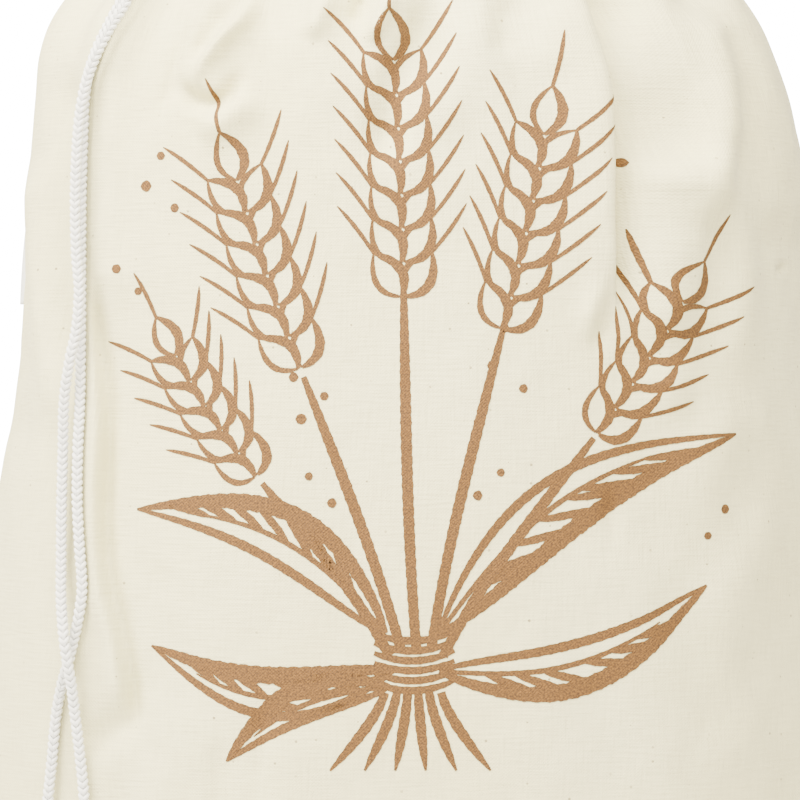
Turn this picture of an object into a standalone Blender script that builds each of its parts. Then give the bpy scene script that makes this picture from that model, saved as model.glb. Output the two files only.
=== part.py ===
"""A drawstring bread bag of unbleached cotton, filled out and standing, with its neck drawn in.

Units are metres with +Z up. The bag stands on Z = 0, the origin is under the middle of its base, and its
front faces -Y. The tables are in millimetres, and MM turns them into metres.

The cloth is worked out ring by ring. A share is how far round a ring a point lies, counted on the cloth from
the left side seam at 0, past the front, to the right side seam at 0.5, and past the back to 1.
"""

import math
from collections import namedtuple

import bmesh
import bpy
import numpy as np
from mathutils import Vector

MM = 0.001

WALL = 1.2 * MM
CORD_DIAMETER = 3.5 * MM

# The height at which the cord draws the neck in, and how deep the gathers stand there, in millimetres.
NECK_HEIGHT = 330.0
NECK_MIDDLE = 8.0
GATHER_DEPTH = 7.8

# The hem is open at the left side seam, where the cord comes out: from this height up, by this much.
SLIT_FOOT = 316.0
SLIT_FULL = 324.0
SLIT_HALF_WIDTH = 6.0
SLIT_SHARE = 0.035

# The lip is the edge of the one deep pleat, where cloth from the left lies over cloth on the right.
LIP_SHARE = 0.340
LIP_FADED = 172.0
LIP_FULL = 208.0
LIP_TOP_FULL = 272.0
LIP_TOP_FADED = 318.0

# The folds fade out over this distance from the side seams.
SEAM_FADE = 14.0

# A fold grows to its full depth over this length of its path, or over this share of a short path.
FOLD_TAPER = 14.0
FOLD_TAPER_SHARE = 0.35

OUTLINE_STEPS = 240
CURVE_STEPS = 12

# Each section: its height, the middle and half of its width, how far it stands out to the front and to the
# back, and its squareness, where 2 is an ellipse.
Section = namedtuple("Section", "height middle half_width front back squareness")
SECTIONS = (
    Section(0.0, 0.0, 97.0, 56.0, 56.0, 2.7),
    Section(3.0, 0.0, 106.5, 63.6, 63.0, 2.6),
    Section(10.0, 0.0, 113.5, 70.0, 69.0, 2.55),
    Section(26.0, 0.2, 118.4, 75.2, 73.6, 2.45),
    Section(58.0, 0.6, 120.2, 77.8, 75.8, 2.4),
    Section(98.0, 1.0, 119.2, 78.0, 75.8, 2.35),
    Section(132.0, 2.2, 116.6, 77.0, 74.6, 2.3),
    Section(157.0, 3.0, 112.8, 76.0, 73.8, 2.3),
    Section(174.0, 2.8, 110.9, 75.0, 73.2, 2.3),
    Section(190.0, 2.9, 109.7, 74.0, 72.6, 2.3),
    Section(206.0, 2.9, 108.5, 73.0, 71.8, 2.3),
    Section(224.0, 2.4, 107.6, 71.6, 70.8, 2.3),
    Section(240.0, 1.5, 105.2, 69.6, 69.0, 2.25),
    Section(252.0, 0.0, 102.6, 66.8, 66.6, 2.2),
    Section(261.0, -0.6, 99.0, 63.4, 63.6, 2.15),
    Section(270.0, -0.6, 92.8, 59.2, 60.0, 2.1),
    Section(282.0, 0.6, 81.5, 52.0, 53.0, 2.0),
    Section(297.0, 3.2, 64.0, 42.0, 43.0, 2.0),
    Section(311.0, 6.2, 44.0, 33.5, 34.0, 2.0),
    Section(322.0, 8.0, 30.5, 28.8, 29.0, 2.0),
    Section(NECK_HEIGHT, NECK_MIDDLE, 27.5, 27.5, 27.5, 2.0),
    Section(341.0, 8.0, 31.0, 31.0, 31.0, 2.0),
    Section(357.0, 8.0, 39.5, 38.5, 38.5, 2.0),
)

# Each gather: the share of its ridge, its depth against the rest, the height at which it runs out below the
# neck, and the columns of the mesh from its ridge to the next.
Gather = namedtuple("Gather", "share depth runs_out columns")
GATHERS = (
    Gather(0.035, 0.85, 224.0, 6),
    Gather(0.088, 1.00, 206.0, 8),
    Gather(0.155, 1.10, 214.0, 6),
    Gather(0.207, 0.95, 232.0, 6),
    Gather(0.243, 1.00, 222.0, 6),
    Gather(0.288, 1.05, 216.0, 8),
    Gather(LIP_SHARE, 1.00, 240.0, 14),
    Gather(0.386, 1.10, 204.0, 8),
    Gather(0.445, 1.00, 212.0, 6),
    Gather(0.515, 0.90, 222.0, 6),
    Gather(0.575, 1.05, 210.0, 6),
    Gather(0.630, 0.95, 226.0, 6),
    Gather(0.700, 1.10, 205.0, 6),
    Gather(0.755, 0.95, 220.0, 6),
    Gather(0.815, 1.05, 212.0, 6),
    Gather(0.865, 0.90, 230.0, 6),
    Gather(0.920, 1.00, 216.0, 6),
    Gather(0.965, 0.90, 226.0, 8),
)

# The deep pleat seen from above: how far along the cloth a point lies from the lip, and where it then lies
# across and out from the plain outline.
PleatPoint = namedtuple("PleatPoint", "along across out")
PLEAT = (
    PleatPoint(-24.0, -24.0, 0.0),
    PleatPoint(-14.0, -13.2, 1.6),
    PleatPoint(-8.0, -6.8, 3.1),
    PleatPoint(-4.0, -2.4, 4.0),
    PleatPoint(-1.8, -0.3, 4.0),
    PleatPoint(-0.2, 1.2, 3.3),
    PleatPoint(1.0, 1.7, 2.2),
    PleatPoint(2.2, 1.0, 1.1),
    PleatPoint(3.8, -1.0, 0.6),
    PleatPoint(5.4, -2.7, 0.3),
    PleatPoint(6.4, -3.3, -0.3),
    PleatPoint(7.6, -2.5, -0.9),
    PleatPoint(9.6, 0.8, -1.2),
    PleatPoint(12.0, 5.0, -1.2),
    PleatPoint(16.0, 11.6, -0.7),
    PleatPoint(24.0, 24.0, 0.0),
)

# Each fold: the side it is on (-1 front, 1 back), its half width, how far it stands out (or in, below zero),
# and the places it runs through, as x and height.
Fold = namedtuple("Fold", "side half_width out path")
FOLDS = (
    Fold(
        -1, 4.2, -2.0,
        ((-70.4, 263.0), (-81.4, 244.0), (-84.1, 210.0), (-82.2, 170.0), (-80.1, 125.0), (-74.1, 68.0)),
    ),
    Fold(-1, 5.0, 1.6, ((-101.9, 207.0), (-99.3, 187.0), (-95.1, 157.0), (-93.0, 112.0))),
    Fold(-1, 3.6, 2.0, ((-39.0, 268.0), (-49.8, 252.0), (-56.1, 238.0))),
    Fold(-1, 6.0, -2.6, ((5.5, 268.0), (-2.2, 246.8), (-6.2, 231.0), (-7.5, 210.0))),
    Fold(-1, 7.0, 1.3, ((15.0, 266.0), (11.0, 246.8), (6.2, 222.0))),
    Fold(-1, 4.5, 2.0, ((65.0, 261.0), (74.0, 255.0), (78.5, 238.0), (76.0, 223.0), (66.4, 220.0))),
    Fold(-1, 5.5, 1.3, ((67.0, 218.0), (67.5, 180.0))),
    Fold(-1, 6.0, 1.4, ((82.0, 260.0), (85.7, 241.0), (84.0, 215.0), (90.0, 194.0), (88.0, 168.0))),
    Fold(-1, 6.0, 1.3, ((-68.0, 70.0), (-70.0, 14.0))),
    Fold(-1, 7.0, 1.3, ((-51.0, 68.0), (-50.0, 12.0))),
    Fold(-1, 12.0, 1.6, ((60.0, 124.0), (72.0, 26.0))),
    Fold(1, 9.0, -2.4, ((-80.0, 252.0), (-72.0, 110.0))),
    Fold(1, 10.0, 2.2, ((-30.0, 258.0), (-38.0, 168.0))),
    Fold(1, 8.0, -2.2, ((26.0, 252.0), (30.0, 138.0))),
    Fold(1, 9.0, 2.0, ((78.0, 246.0), (70.0, 58.0))),
    Fold(1, 10.0, 1.8, ((-52.0, 124.0), (-60.0, 16.0))),
)

# Each dent or swell: its side, place, half sizes across and up, and how far it stands out (or in).
Dent = namedtuple("Dent", "side x z half_width half_height out")
DENTS = (
    Dent(-1, -52.0, 234.0, 9.0, 5.0, -1.8),
    Dent(-1, 61.0, 250.0, 7.0, 8.0, 1.6),
    Dent(-1, 67.5, 234.0, 6.5, 8.0, -2.0),
    Dent(-1, -79.0, 72.0, 6.0, 9.0, -1.8),
    Dent(-1, -104.0, 151.0, 7.0, 9.0, -1.8),
    Dent(-1, 6.0, 130.0, 60.0, 60.0, 1.5),
    Dent(1, 20.0, 110.0, 50.0, 45.0, 1.8),
    Dent(1, -66.0, 200.0, 14.0, 16.0, -2.2),
)

# The blank label in the left side seam: its foot, its height, how far it reaches back from the seam and out.
LABEL_FOOT = 184.0
LABEL_HEIGHT = 24.0
LABEL_REACH_BACK = 12.0
LABEL_REACH_OUT = 3.2
LABEL_THICKNESS = 1.0
LABEL_SEAM_GAP = 1.0
LABEL_CELLS = 6

# The cord: the stretch in the hem is a ring about the neck whose ends turn out through the open side seam.
NECK_CORD_RADIUS = 15.6
NECK_CORD_HEIGHT = 329.4
NECK_CORD_POINTS = 28
NECK_CORD_TURNS_OUT_AT = math.radians(34.0)
NECK_LEAD_FRONT = ((-17.0, -2.2, 325.95), (-8.6, -2.4, 328.2))
NECK_LEAD_REAR = ((-17.0, 2.2, 326.0), (-8.6, 2.4, 329.6))
CORD_STEP = 2.6 * CORD_DIAMETER
CORD_SIDES = 2

# Each free strand's route, in millimetres, from the side seam over the shoulder and down the front left.
FRONT_ROUTE = (
    (-17.45, -2.2, 325.8), (-25.9, -2.5, 323.55), (-32.0, -6.8, 322.6), (-38.4, -12.0, 318.6),
    (-46.0, -18.8, 309.8), (-54.0, -26.2, 300.2), (-62.0, -33.6, 291.0), (-69.2, -41.2, 281.2),
    (-73.0, -45.6, 273.6), (-75.5, -49.2, 264.5), (-79.5, -50.8, 257.7), (-83.1, -51.2, 250.9),
    (-85.9, -50.4, 244.0), (-87.5, -50.4, 237.5), (-88.5, -50.6, 230.2), (-89.1, -51.0, 220.0),
    (-89.3, -51.4, 209.6), (-88.9, -52.4, 195.8), (-88.1, -53.6, 186.4), (-88.8, -54.5, 175.7),
    (-90.3, -55.4, 168.5), (-92.0, -54.6, 157.0), (-92.4, -53.8, 143.6), (-92.6, -55.4, 129.7),
    (-92.6, -57.0, 114.3), (-92.4, -60.0, 103.7), (-91.4, -63.6, 94.2), (-90.4, -64.0, 87.4),
    (-89.4, -62.8, 81.0), (-88.6, -61.8, 73.8), (-86.9, -62.4, 60.1), (-86.1, -62.8, 50.8),
    (-86.4, -64.2, 40.0), (-86.4, -64.2, 28.0),
)
REAR_ROUTE = (
    (-17.4, 2.2, 325.8), (-25.6, 1.8, 322.3), (-31.6, -1.8, 319.4), (-38.4, -7.2, 316.6),
    (-46.0, -14.0, 309.8), (-54.0, -21.5, 299.8), (-62.0, -29.0, 290.8), (-69.5, -36.5, 281.4),
    (-74.2, -41.6, 273.0), (-77.2, -45.2, 264.8), (-80.7, -46.6, 258.0), (-83.9, -46.8, 251.2),
    (-86.2, -46.4, 244.3), (-87.2, -46.4, 237.8), (-87.5, -46.6, 230.4), (-87.8, -47.0, 220.2),
    (-88.0, -47.4, 209.7), (-88.0, -48.4, 196.0), (-87.9, -50.6, 175.8), (-87.9, -53.0, 157.0),
    (-88.3, -55.4, 143.6), (-88.3, -57.2, 129.8), (-87.6, -58.8, 118.4), (-86.8, -60.3, 107.0),
    (-87.6, -60.8, 99.8), (-88.9, -60.0, 93.8), (-90.4, -59.5, 87.8), (-92.0, -58.6, 82.4),
    (-93.8, -57.6, 73.6), (-95.2, -57.1, 59.6), (-96.2, -57.0, 50.0), (-97.0, -57.2, 40.0),
    (-97.0, -57.2, 28.0),
)

# The plain knot at each strand's end, turned from its radii and how far each lies below the strand's end.
# The first drop is the gap between the strand and its knot.
KnotPoint = namedtuple("KnotPoint", "radius drop")
KNOT = (
    KnotPoint(0.0, 0.35),
    KnotPoint(1.7, 0.35),
    KnotPoint(3.2, 1.0),
    KnotPoint(4.4, 3.0),
    KnotPoint(4.7, 5.2),
    KnotPoint(4.2, 7.6),
    KnotPoint(2.9, 9.4),
    KnotPoint(1.8, 10.4),
    KnotPoint(1.8, 18.0),
    KnotPoint(0.0, 18.0),
)
KNOT_SIDES = 15
KNOT_LOBES = 3
KNOT_LOBE_DEPTH = 0.10
KNOT_TWIST = 0.35

CLOTH_COLOUR = (0.855, 0.815, 0.70, 1.0)
WHITE_COLOUR = (0.86, 0.86, 0.85, 1.0)
CORD_COLOUR = (0.82, 0.82, 0.81, 1.0)


def smooth(low, high, value):
    """0 below low, 1 above high, and an even curve between."""
    part = min(max((value - low) / (high - low), 0.0), 1.0)
    return part * part * (3.0 - 2.0 * part)


def bell(distance, half_width):
    """1 at the middle, fading evenly to nothing about two half widths away."""
    return math.exp(-((distance / half_width) ** 2))


class Ring:
    """One section's plain outline, which gives the point and the outward direction at any share."""

    def __init__(self, section):
        self.section = section
        turn = np.linspace(0.0, 2.0 * math.pi, 2 * OUTLINE_STEPS + 1)
        cosine, sine = np.cos(turn), np.sin(turn)
        power = 2.0 / section.squareness
        depth = np.where(sine > 0.0, section.front, section.back)
        self.x = section.middle - section.half_width * np.sign(cosine) * np.abs(cosine) ** power
        self.y = -depth * np.sign(sine) * np.abs(sine) ** power
        steps = np.hypot(np.diff(self.x), np.diff(self.y))
        run = np.concatenate([[0.0], np.cumsum(steps)])
        front_run = run[OUTLINE_STEPS]
        back_run = run[-1] - front_run
        past_front = 0.5 + 0.5 * (run - front_run) / back_run
        self.shares = np.where(run <= front_run, 0.5 * run / front_run, past_front)
        self.girth = run[-1]

    def place(self, share):
        """The point at a share, as x and y."""
        share %= 1.0
        return np.interp(share, self.shares, self.x), np.interp(share, self.shares, self.y)

    def frame(self, share, reach=0.004):
        """The point at a share, the direction along the ring, and the direction out of it."""
        x, y = self.place(share)
        x_before, y_before = self.place(share - reach)
        x_after, y_after = self.place(share + reach)
        length = math.hypot(x_after - x_before, y_after - y_before)
        along = ((x_after - x_before) / length, (y_after - y_before) / length)
        return (x, y), along, (along[1], -along[0])


def gather_out(share, height):
    """How far the gathers stand out from the plain outline at a share and height."""
    share %= 1.0
    if share < GATHERS[0].share:
        share += 1.0
    for index, gather in enumerate(GATHERS):
        following = GATHERS[(index + 1) % len(GATHERS)]
        end = following.share + (1.0 if following.share <= gather.share else 0.0)
        if share <= end:
            break
    part = (share - gather.share) / (end - gather.share)
    depth = 0.0
    for weight, row in ((1.0 - part, gather), (part, following)):
        rise = min(max((height - row.runs_out) / (NECK_HEIGHT - row.runs_out), 0.0), 1.0)
        depth += weight * row.depth * rise**1.4
    return GATHER_DEPTH * depth * math.cos(2.0 * math.pi * part)


def pleat_shift(share, height, girth):
    """How far the deep pleat moves a point along the ring and out of it."""
    strength = smooth(LIP_FADED, LIP_FULL, height) * (1.0 - smooth(LIP_TOP_FULL, LIP_TOP_FADED, height))
    along = (share - LIP_SHARE) * girth
    if strength == 0.0 or not PLEAT[0].along < along < PLEAT[-1].along:
        return 0.0, 0.0
    rows = list(zip(*PLEAT))
    across = np.interp(along, rows[0], rows[1])
    out = np.interp(along, rows[0], rows[2])
    return strength * (across - along), strength * out


def slit_shift(share, height):
    """How far the open side seam of the hem moves a point along the ring."""
    opening = SLIT_HALF_WIDTH * smooth(SLIT_FOOT, SLIT_FULL, height)
    if share < SLIT_SHARE:
        return opening * (1.0 - share / SLIT_SHARE)
    if share > 1.0 - SLIT_SHARE:
        return -opening * (1.0 - (1.0 - share) / SLIT_SHARE)
    return 0.0


def fold_strength(x, z, path):
    """How far a point is from a fold's path, in millimetres, and how full the fold is there, from 0 to 1."""
    lengths = [math.dist(start, end) for start, end in zip(path, path[1:])]
    total, run = sum(lengths), 0.0
    taper = min(FOLD_TAPER, FOLD_TAPER_SHARE * total)
    nearest, nearest_run = None, 0.0
    for start, end, length in zip(path, path[1:], lengths):
        part = ((x - start[0]) * (end[0] - start[0]) + (z - start[1]) * (end[1] - start[1])) / length**2
        part = min(max(part, 0.0), 1.0)
        away = math.dist((x, z), (start[0] + part * (end[0] - start[0]), start[1] + part * (end[1] - start[1])))
        if nearest is None or away < nearest:
            nearest, nearest_run = away, run + part * length
        run += length
    return nearest, smooth(0.0, taper, nearest_run) * smooth(0.0, taper, total - nearest_run)


def folds_out(x, y, z):
    """How far the folds and dents stand out at a point of the plain outline."""
    out = 0.0
    for fold in FOLDS:
        away, strength = fold_strength(x, z, fold.path)
        out += fold.out * strength * smooth(0.0, SEAM_FADE, y * fold.side) * bell(away, fold.half_width)
    for dent in DENTS:
        across, up = bell(x - dent.x, dent.half_width), bell(z - dent.z, dent.half_height)
        out += dent.out * smooth(0.0, SEAM_FADE, y * dent.side) * across * up
    return out


def cloth_point(ring, share):
    """The place of the cloth's outer face on a ring at a share, in metres."""
    height = ring.section.height
    (x, y), along, outward = ring.frame(share)
    across, out = pleat_shift(share, height, ring.girth)
    across += slit_shift(share, height)
    out += gather_out(share, height) + folds_out(x, y, height)
    x += along[0] * across + outward[0] * out
    y += along[1] * across + outward[1] * out
    return Vector((x, y, height)) * MM


def column_shares():
    """The share of each column of the mesh, from the left side seam round to it again."""
    shares = []
    for index, gather in enumerate(GATHERS):
        following = GATHERS[(index + 1) % len(GATHERS)]
        end = following.share + (1.0 if following.share <= gather.share else 0.0)
        for step in range(gather.columns):
            shares.append((gather.share + (end - gather.share) * step / gather.columns) % 1.0)
    shares = sorted(share for share in shares if share > 1e-6)
    return [0.0] + shares + [1.0]


def material(name, colour, roughness):
    """A plain cloth-like material."""
    made = bpy.data.materials.new(name)
    made.use_nodes = True
    shader = made.node_tree.nodes["Principled BSDF"]
    shader.inputs["Base Color"].default_value = colour
    shader.inputs["Roughness"].default_value = roughness
    shader.inputs["Metallic"].default_value = 0.0
    return made


def add_object(name, data, finish):
    """A new object of the scene with its own material."""
    made = bpy.data.objects.new(name, data)
    bpy.context.scene.collection.objects.link(made)
    data.materials.append(finish)
    return made


def make_cloth():
    """The bag's one piece of cloth: a grid wrapped round its sections, closed underneath and thickened."""
    shares = column_shares()
    rings = [Ring(section) for section in SECTIONS]
    columns, rows = len(shares) - 1, len(rings) - 1
    mesh = bpy.data.meshes.new("bag_cloth")
    work = bmesh.new()
    bmesh.ops.create_grid(work, x_segments=columns, y_segments=rows, size=0.5)
    for vertex in work.verts:
        column = round((vertex.co.x + 0.5) * columns)
        row = round((vertex.co.y + 0.5) * rows)
        vertex.co = cloth_point(rings[row], shares[column])
    bmesh.ops.remove_doubles(work, verts=work.verts, dist=0.01 * MM)
    foot = [edge for edge in work.edges if edge.is_boundary and max(v.co.z for v in edge.verts) < MM]
    bmesh.ops.edgeloop_fill(work, edges=foot)
    bmesh.ops.recalc_face_normals(work, faces=work.faces)
    if work.calc_volume(signed=True) < 0.0:
        bmesh.ops.reverse_faces(work, faces=work.faces)
    work.to_mesh(mesh)
    work.free()
    mesh.shade_smooth()
    cloth = add_object("bag_cloth", mesh, material("unbleached_cotton", CLOTH_COLOUR, 0.9))
    wall = cloth.modifiers.new("wall", "SOLIDIFY")
    wall.thickness = WALL
    wall.offset = -1.0
    wall.use_rim = True
    return cloth


def make_label():
    """The blank tab in the left side seam: a short strip that curls back and a little out."""
    mesh = bpy.data.meshes.new("side_label")
    work = bmesh.new()
    bmesh.ops.create_grid(work, x_segments=LABEL_CELLS, y_segments=LABEL_CELLS, size=0.5)
    rings = [Ring(section) for section in SECTIONS]
    heights = [section.height for section in SECTIONS]
    for vertex in work.verts:
        reach = vertex.co.x + 0.5
        height = LABEL_FOOT + LABEL_HEIGHT * (vertex.co.y + 0.5)
        seam = min(float(np.interp(height, heights, [cloth_point(r, 0.0).x / MM for r in rings])), 0.0)
        x = seam - LABEL_SEAM_GAP - LABEL_REACH_OUT * math.sin(0.5 * math.pi * reach)
        vertex.co = Vector((x, LABEL_REACH_BACK * reach, height)) * MM
    work.to_mesh(mesh)
    work.free()
    mesh.shade_smooth()
    label = add_object("side_label", mesh, material("white_tape", WHITE_COLOUR, 0.7))
    wall = label.modifiers.new("wall", "SOLIDIFY")
    wall.thickness = LABEL_THICKNESS * MM
    wall.offset = 0.0
    wall.use_rim = True
    return label


def smooth_points(route, step):
    """Points a step apart on a smooth curve through a route's own points."""
    route = [Vector(point) * MM for point in route]
    ends = [route[0] * 2.0 - route[1]] + route + [route[-1] * 2.0 - route[-2]]
    dense = []
    for before, first, second, after in zip(ends, ends[1:], ends[2:], ends[3:]):
        length = (second - first).length
        enter = (second - before) * (length / max((second - before).length, MM))
        leave = (after - first) * (length / max((after - first).length, MM))
        for index in range(CURVE_STEPS):
            t = index / CURVE_STEPS
            dense.append(
                first * (2.0 * t**3 - 3.0 * t**2 + 1.0)
                + enter * (t**3 - 2.0 * t**2 + t)
                + second * (3.0 * t**2 - 2.0 * t**3)
                + leave * (t**3 - t**2)
            )
    dense.append(route[-1])
    runs = [0.0]
    for start, end in zip(dense, dense[1:]):
        runs.append(runs[-1] + (end - start).length)
    count = max(round(runs[-1] / step), 1)
    wanted = [runs[-1] * index / count for index in range(count + 1)]
    axes = [np.interp(wanted, runs, [point[axis] for point in dense]) for axis in range(3)]
    return [Vector(point) for point in zip(*axes)]


def make_cord(name, route, finish):
    """A round cord with capped ends along a route."""
    curve = bpy.data.curves.new(name, "CURVE")
    curve.dimensions = "3D"
    curve.bevel_depth = 0.5 * CORD_DIAMETER
    curve.bevel_resolution = CORD_SIDES
    curve.use_fill_caps = True
    curve.render_resolution_u = 0
    points = smooth_points(route, CORD_STEP)
    spline = curve.splines.new("POLY")
    spline.points.add(len(points) - 1)
    for point, place in zip(spline.points, points):
        point.co = (*place, 1.0)
    return add_object(name, curve, finish)


def neck_route():
    """The cord's way round inside the hem: in at the side seam, round the front, and out beside itself."""
    start = math.pi + NECK_CORD_TURNS_OUT_AT
    sweep = 2.0 * (math.pi - NECK_CORD_TURNS_OUT_AT)
    ring = []
    for index in range(NECK_CORD_POINTS + 1):
        angle = start + sweep * index / NECK_CORD_POINTS
        x = NECK_MIDDLE + NECK_CORD_RADIUS * math.cos(angle)
        ring.append((x, NECK_CORD_RADIUS * math.sin(angle), NECK_CORD_HEIGHT))
    return list(NECK_LEAD_FRONT) + ring + list(reversed(NECK_LEAD_REAR))


def make_knot(name, route, finish):
    """A strand's end knot: a turned, three-lobed barrel with the cord's tail below it."""
    mesh = bpy.data.meshes.new(name)
    work = bmesh.new()
    profile = [work.verts.new(Vector((point.radius, 0.0, -point.drop)) * MM) for point in KNOT]
    edges = [work.edges.new(pair) for pair in zip(profile, profile[1:])]
    bmesh.ops.spin(
        work,
        geom=profile + edges,
        axis=(0.0, 0.0, 1.0),
        cent=(0.0, 0.0, 0.0),
        angle=2.0 * math.pi,
        steps=KNOT_SIDES,
        use_merge=True,
    )
    bmesh.ops.remove_doubles(work, verts=work.verts, dist=0.01 * MM)
    end = Vector(route[-1]) * MM
    for vertex in work.verts:
        x, y, z = vertex.co
        radius = math.hypot(x, y)
        fullness = smooth(0.5 * CORD_DIAMETER / MM, KNOT[4].radius, radius / MM)
        lobe = KNOT_LOBE_DEPTH * fullness * math.cos(KNOT_LOBES * math.atan2(y, x) + KNOT_TWIST * z / MM)
        vertex.co = end + Vector((x * (1.0 + lobe), y * (1.0 + lobe), z))
    bmesh.ops.recalc_face_normals(work, faces=work.faces)
    work.to_mesh(mesh)
    work.free()
    mesh.shade_smooth()
    return add_object(name, mesh, finish)


def main():
    """Builds every piece of the bag."""
    for old in list(bpy.data.objects):
        bpy.data.objects.remove(old, do_unlink=True)
    make_cloth()
    make_label()
    make_cord("drawcord_neck", neck_route(), material("neck_braid", CORD_COLOUR, 0.75))
    for side, route in (("front", FRONT_ROUTE), ("rear", REAR_ROUTE)):
        make_cord("drawcord_" + side, route, material(side + "_braid", CORD_COLOUR, 0.75))
        make_knot("knot_" + side, route, material(side + "_knot_braid", CORD_COLOUR, 0.75))


main()
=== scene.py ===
"""The looks of a filled, standing cotton drawstring bag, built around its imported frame.

Everything is in metres with +Z up, and the printed front faces -Y. Tables are in millimetres, and MM turns
them into metres. A share is how far round the bag a point of the cloth lies: 0 at the left side seam, past
the front to the right side seam at 0.5, and past the back to 1.
"""

from __future__ import annotations

import logging
import math
from dataclasses import dataclass
from enum import Enum
from typing import Sequence

import bmesh
import bpy
import numpy as np
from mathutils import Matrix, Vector

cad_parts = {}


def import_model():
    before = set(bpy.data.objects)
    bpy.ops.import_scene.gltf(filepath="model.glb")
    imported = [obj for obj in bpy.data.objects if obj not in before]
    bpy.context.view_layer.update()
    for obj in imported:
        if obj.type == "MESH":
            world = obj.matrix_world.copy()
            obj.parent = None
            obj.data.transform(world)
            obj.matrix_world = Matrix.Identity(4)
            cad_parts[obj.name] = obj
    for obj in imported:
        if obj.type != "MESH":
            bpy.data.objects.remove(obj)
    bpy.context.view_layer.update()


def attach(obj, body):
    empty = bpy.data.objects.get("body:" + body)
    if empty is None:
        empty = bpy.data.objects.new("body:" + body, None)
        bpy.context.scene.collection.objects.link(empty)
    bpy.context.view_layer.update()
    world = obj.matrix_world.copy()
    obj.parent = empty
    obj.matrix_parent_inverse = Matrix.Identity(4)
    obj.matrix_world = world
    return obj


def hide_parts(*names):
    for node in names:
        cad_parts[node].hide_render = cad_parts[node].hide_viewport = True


LOG = logging.getLogger("bag")
MM = 0.001
BODY = "root"
FLAT = "flat"

Pair = tuple[float, float]
Triple = tuple[float, float, float]
Place = tuple[int, int]
ArrayPair = tuple[np.ndarray, np.ndarray]


def smoothstep(low: float, high: float, value: np.ndarray | float) -> np.ndarray:
    """An even step.

    Args:
        low: Where it leaves 0.
        high: Where it reaches 1.
        value: Where to read it.

    Returns:
        0 below low, 1 above high, and an even curve between.
    """
    part = np.clip((np.asarray(value, float) - low) / (high - low), 0.0, 1.0)
    return part * part * (3.0 - 2.0 * part)


def bell(distance: np.ndarray, half_width: float) -> np.ndarray:
    """A bump that is 1 at distance 0 and fades out about two half widths away."""
    return np.exp(-((distance / half_width) ** 2))


class Curve1D:
    """A smooth curve through given points, read by its first number."""

    def __init__(self, places: Sequence[float], values: Sequence[float]) -> None:
        """Keeps the points and the slope at each.

        Args:
            places: Rising places.
            values: The curve's value at each place.
        """
        self.places = np.asarray(places, float)
        self.values = np.asarray(values, float)
        steps = np.diff(self.values) / np.diff(self.places)
        self.slopes = np.empty(len(self.places))
        self.slopes[0], self.slopes[-1] = steps[0], steps[-1]
        widths = np.diff(self.places)
        self.slopes[1:-1] = (widths[1:] * steps[:-1] + widths[:-1] * steps[1:]) / (widths[1:] + widths[:-1])

    def at(self, place: np.ndarray | float) -> np.ndarray:
        """The curve's value at a place, held level past its ends.

        Args:
            place: Where to read it.

        Returns:
            The value at each place.
        """
        place = np.clip(np.asarray(place, float), self.places[0], self.places[-1])
        index = np.clip(np.searchsorted(self.places, place) - 1, 0, len(self.places) - 2)
        width = self.places[index + 1] - self.places[index]
        t = (place - self.places[index]) / width
        return (
            self.values[index] * (2 * t**3 - 3 * t**2 + 1)
            + self.slopes[index] * width * (t**3 - 2 * t**2 + t)
            + self.values[index + 1] * (3 * t**2 - 2 * t**3)
            + self.slopes[index + 1] * width * (t**3 - t**2)
        )


@dataclass(frozen=True)
class Section:
    """The bag's plain outline at one height, in millimetres."""

    height: float
    middle: float
    half_width: float
    front: float
    back: float
    squareness: float


@dataclass(frozen=True)
class Gather:
    """One ridge of the gathers: its share, depth against the rest, and the height where it runs out."""

    share: float
    depth: float
    runs_out: float


@dataclass(frozen=True)
class Fold:
    """A fold along a path of x and height: side -1 is the front, 1 the back; out is below zero for a valley.

    A straight fold moves the cloth to the front or the back, and any other one out of the bag's own outline.
    """

    side: int
    half_width: float
    out: float
    path: tuple[Pair, ...]
    straight: bool = False


@dataclass(frozen=True)
class Dent:
    """A round dent or swell at one place of the front or back."""

    side: int
    x: float
    z: float
    half_width: float
    half_height: float
    out: float


@dataclass(frozen=True)
class PleatPoint:
    """The deep pleat seen from above: cloth length from its lip, and where that cloth lies."""

    along: float
    across: float
    out: float


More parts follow.
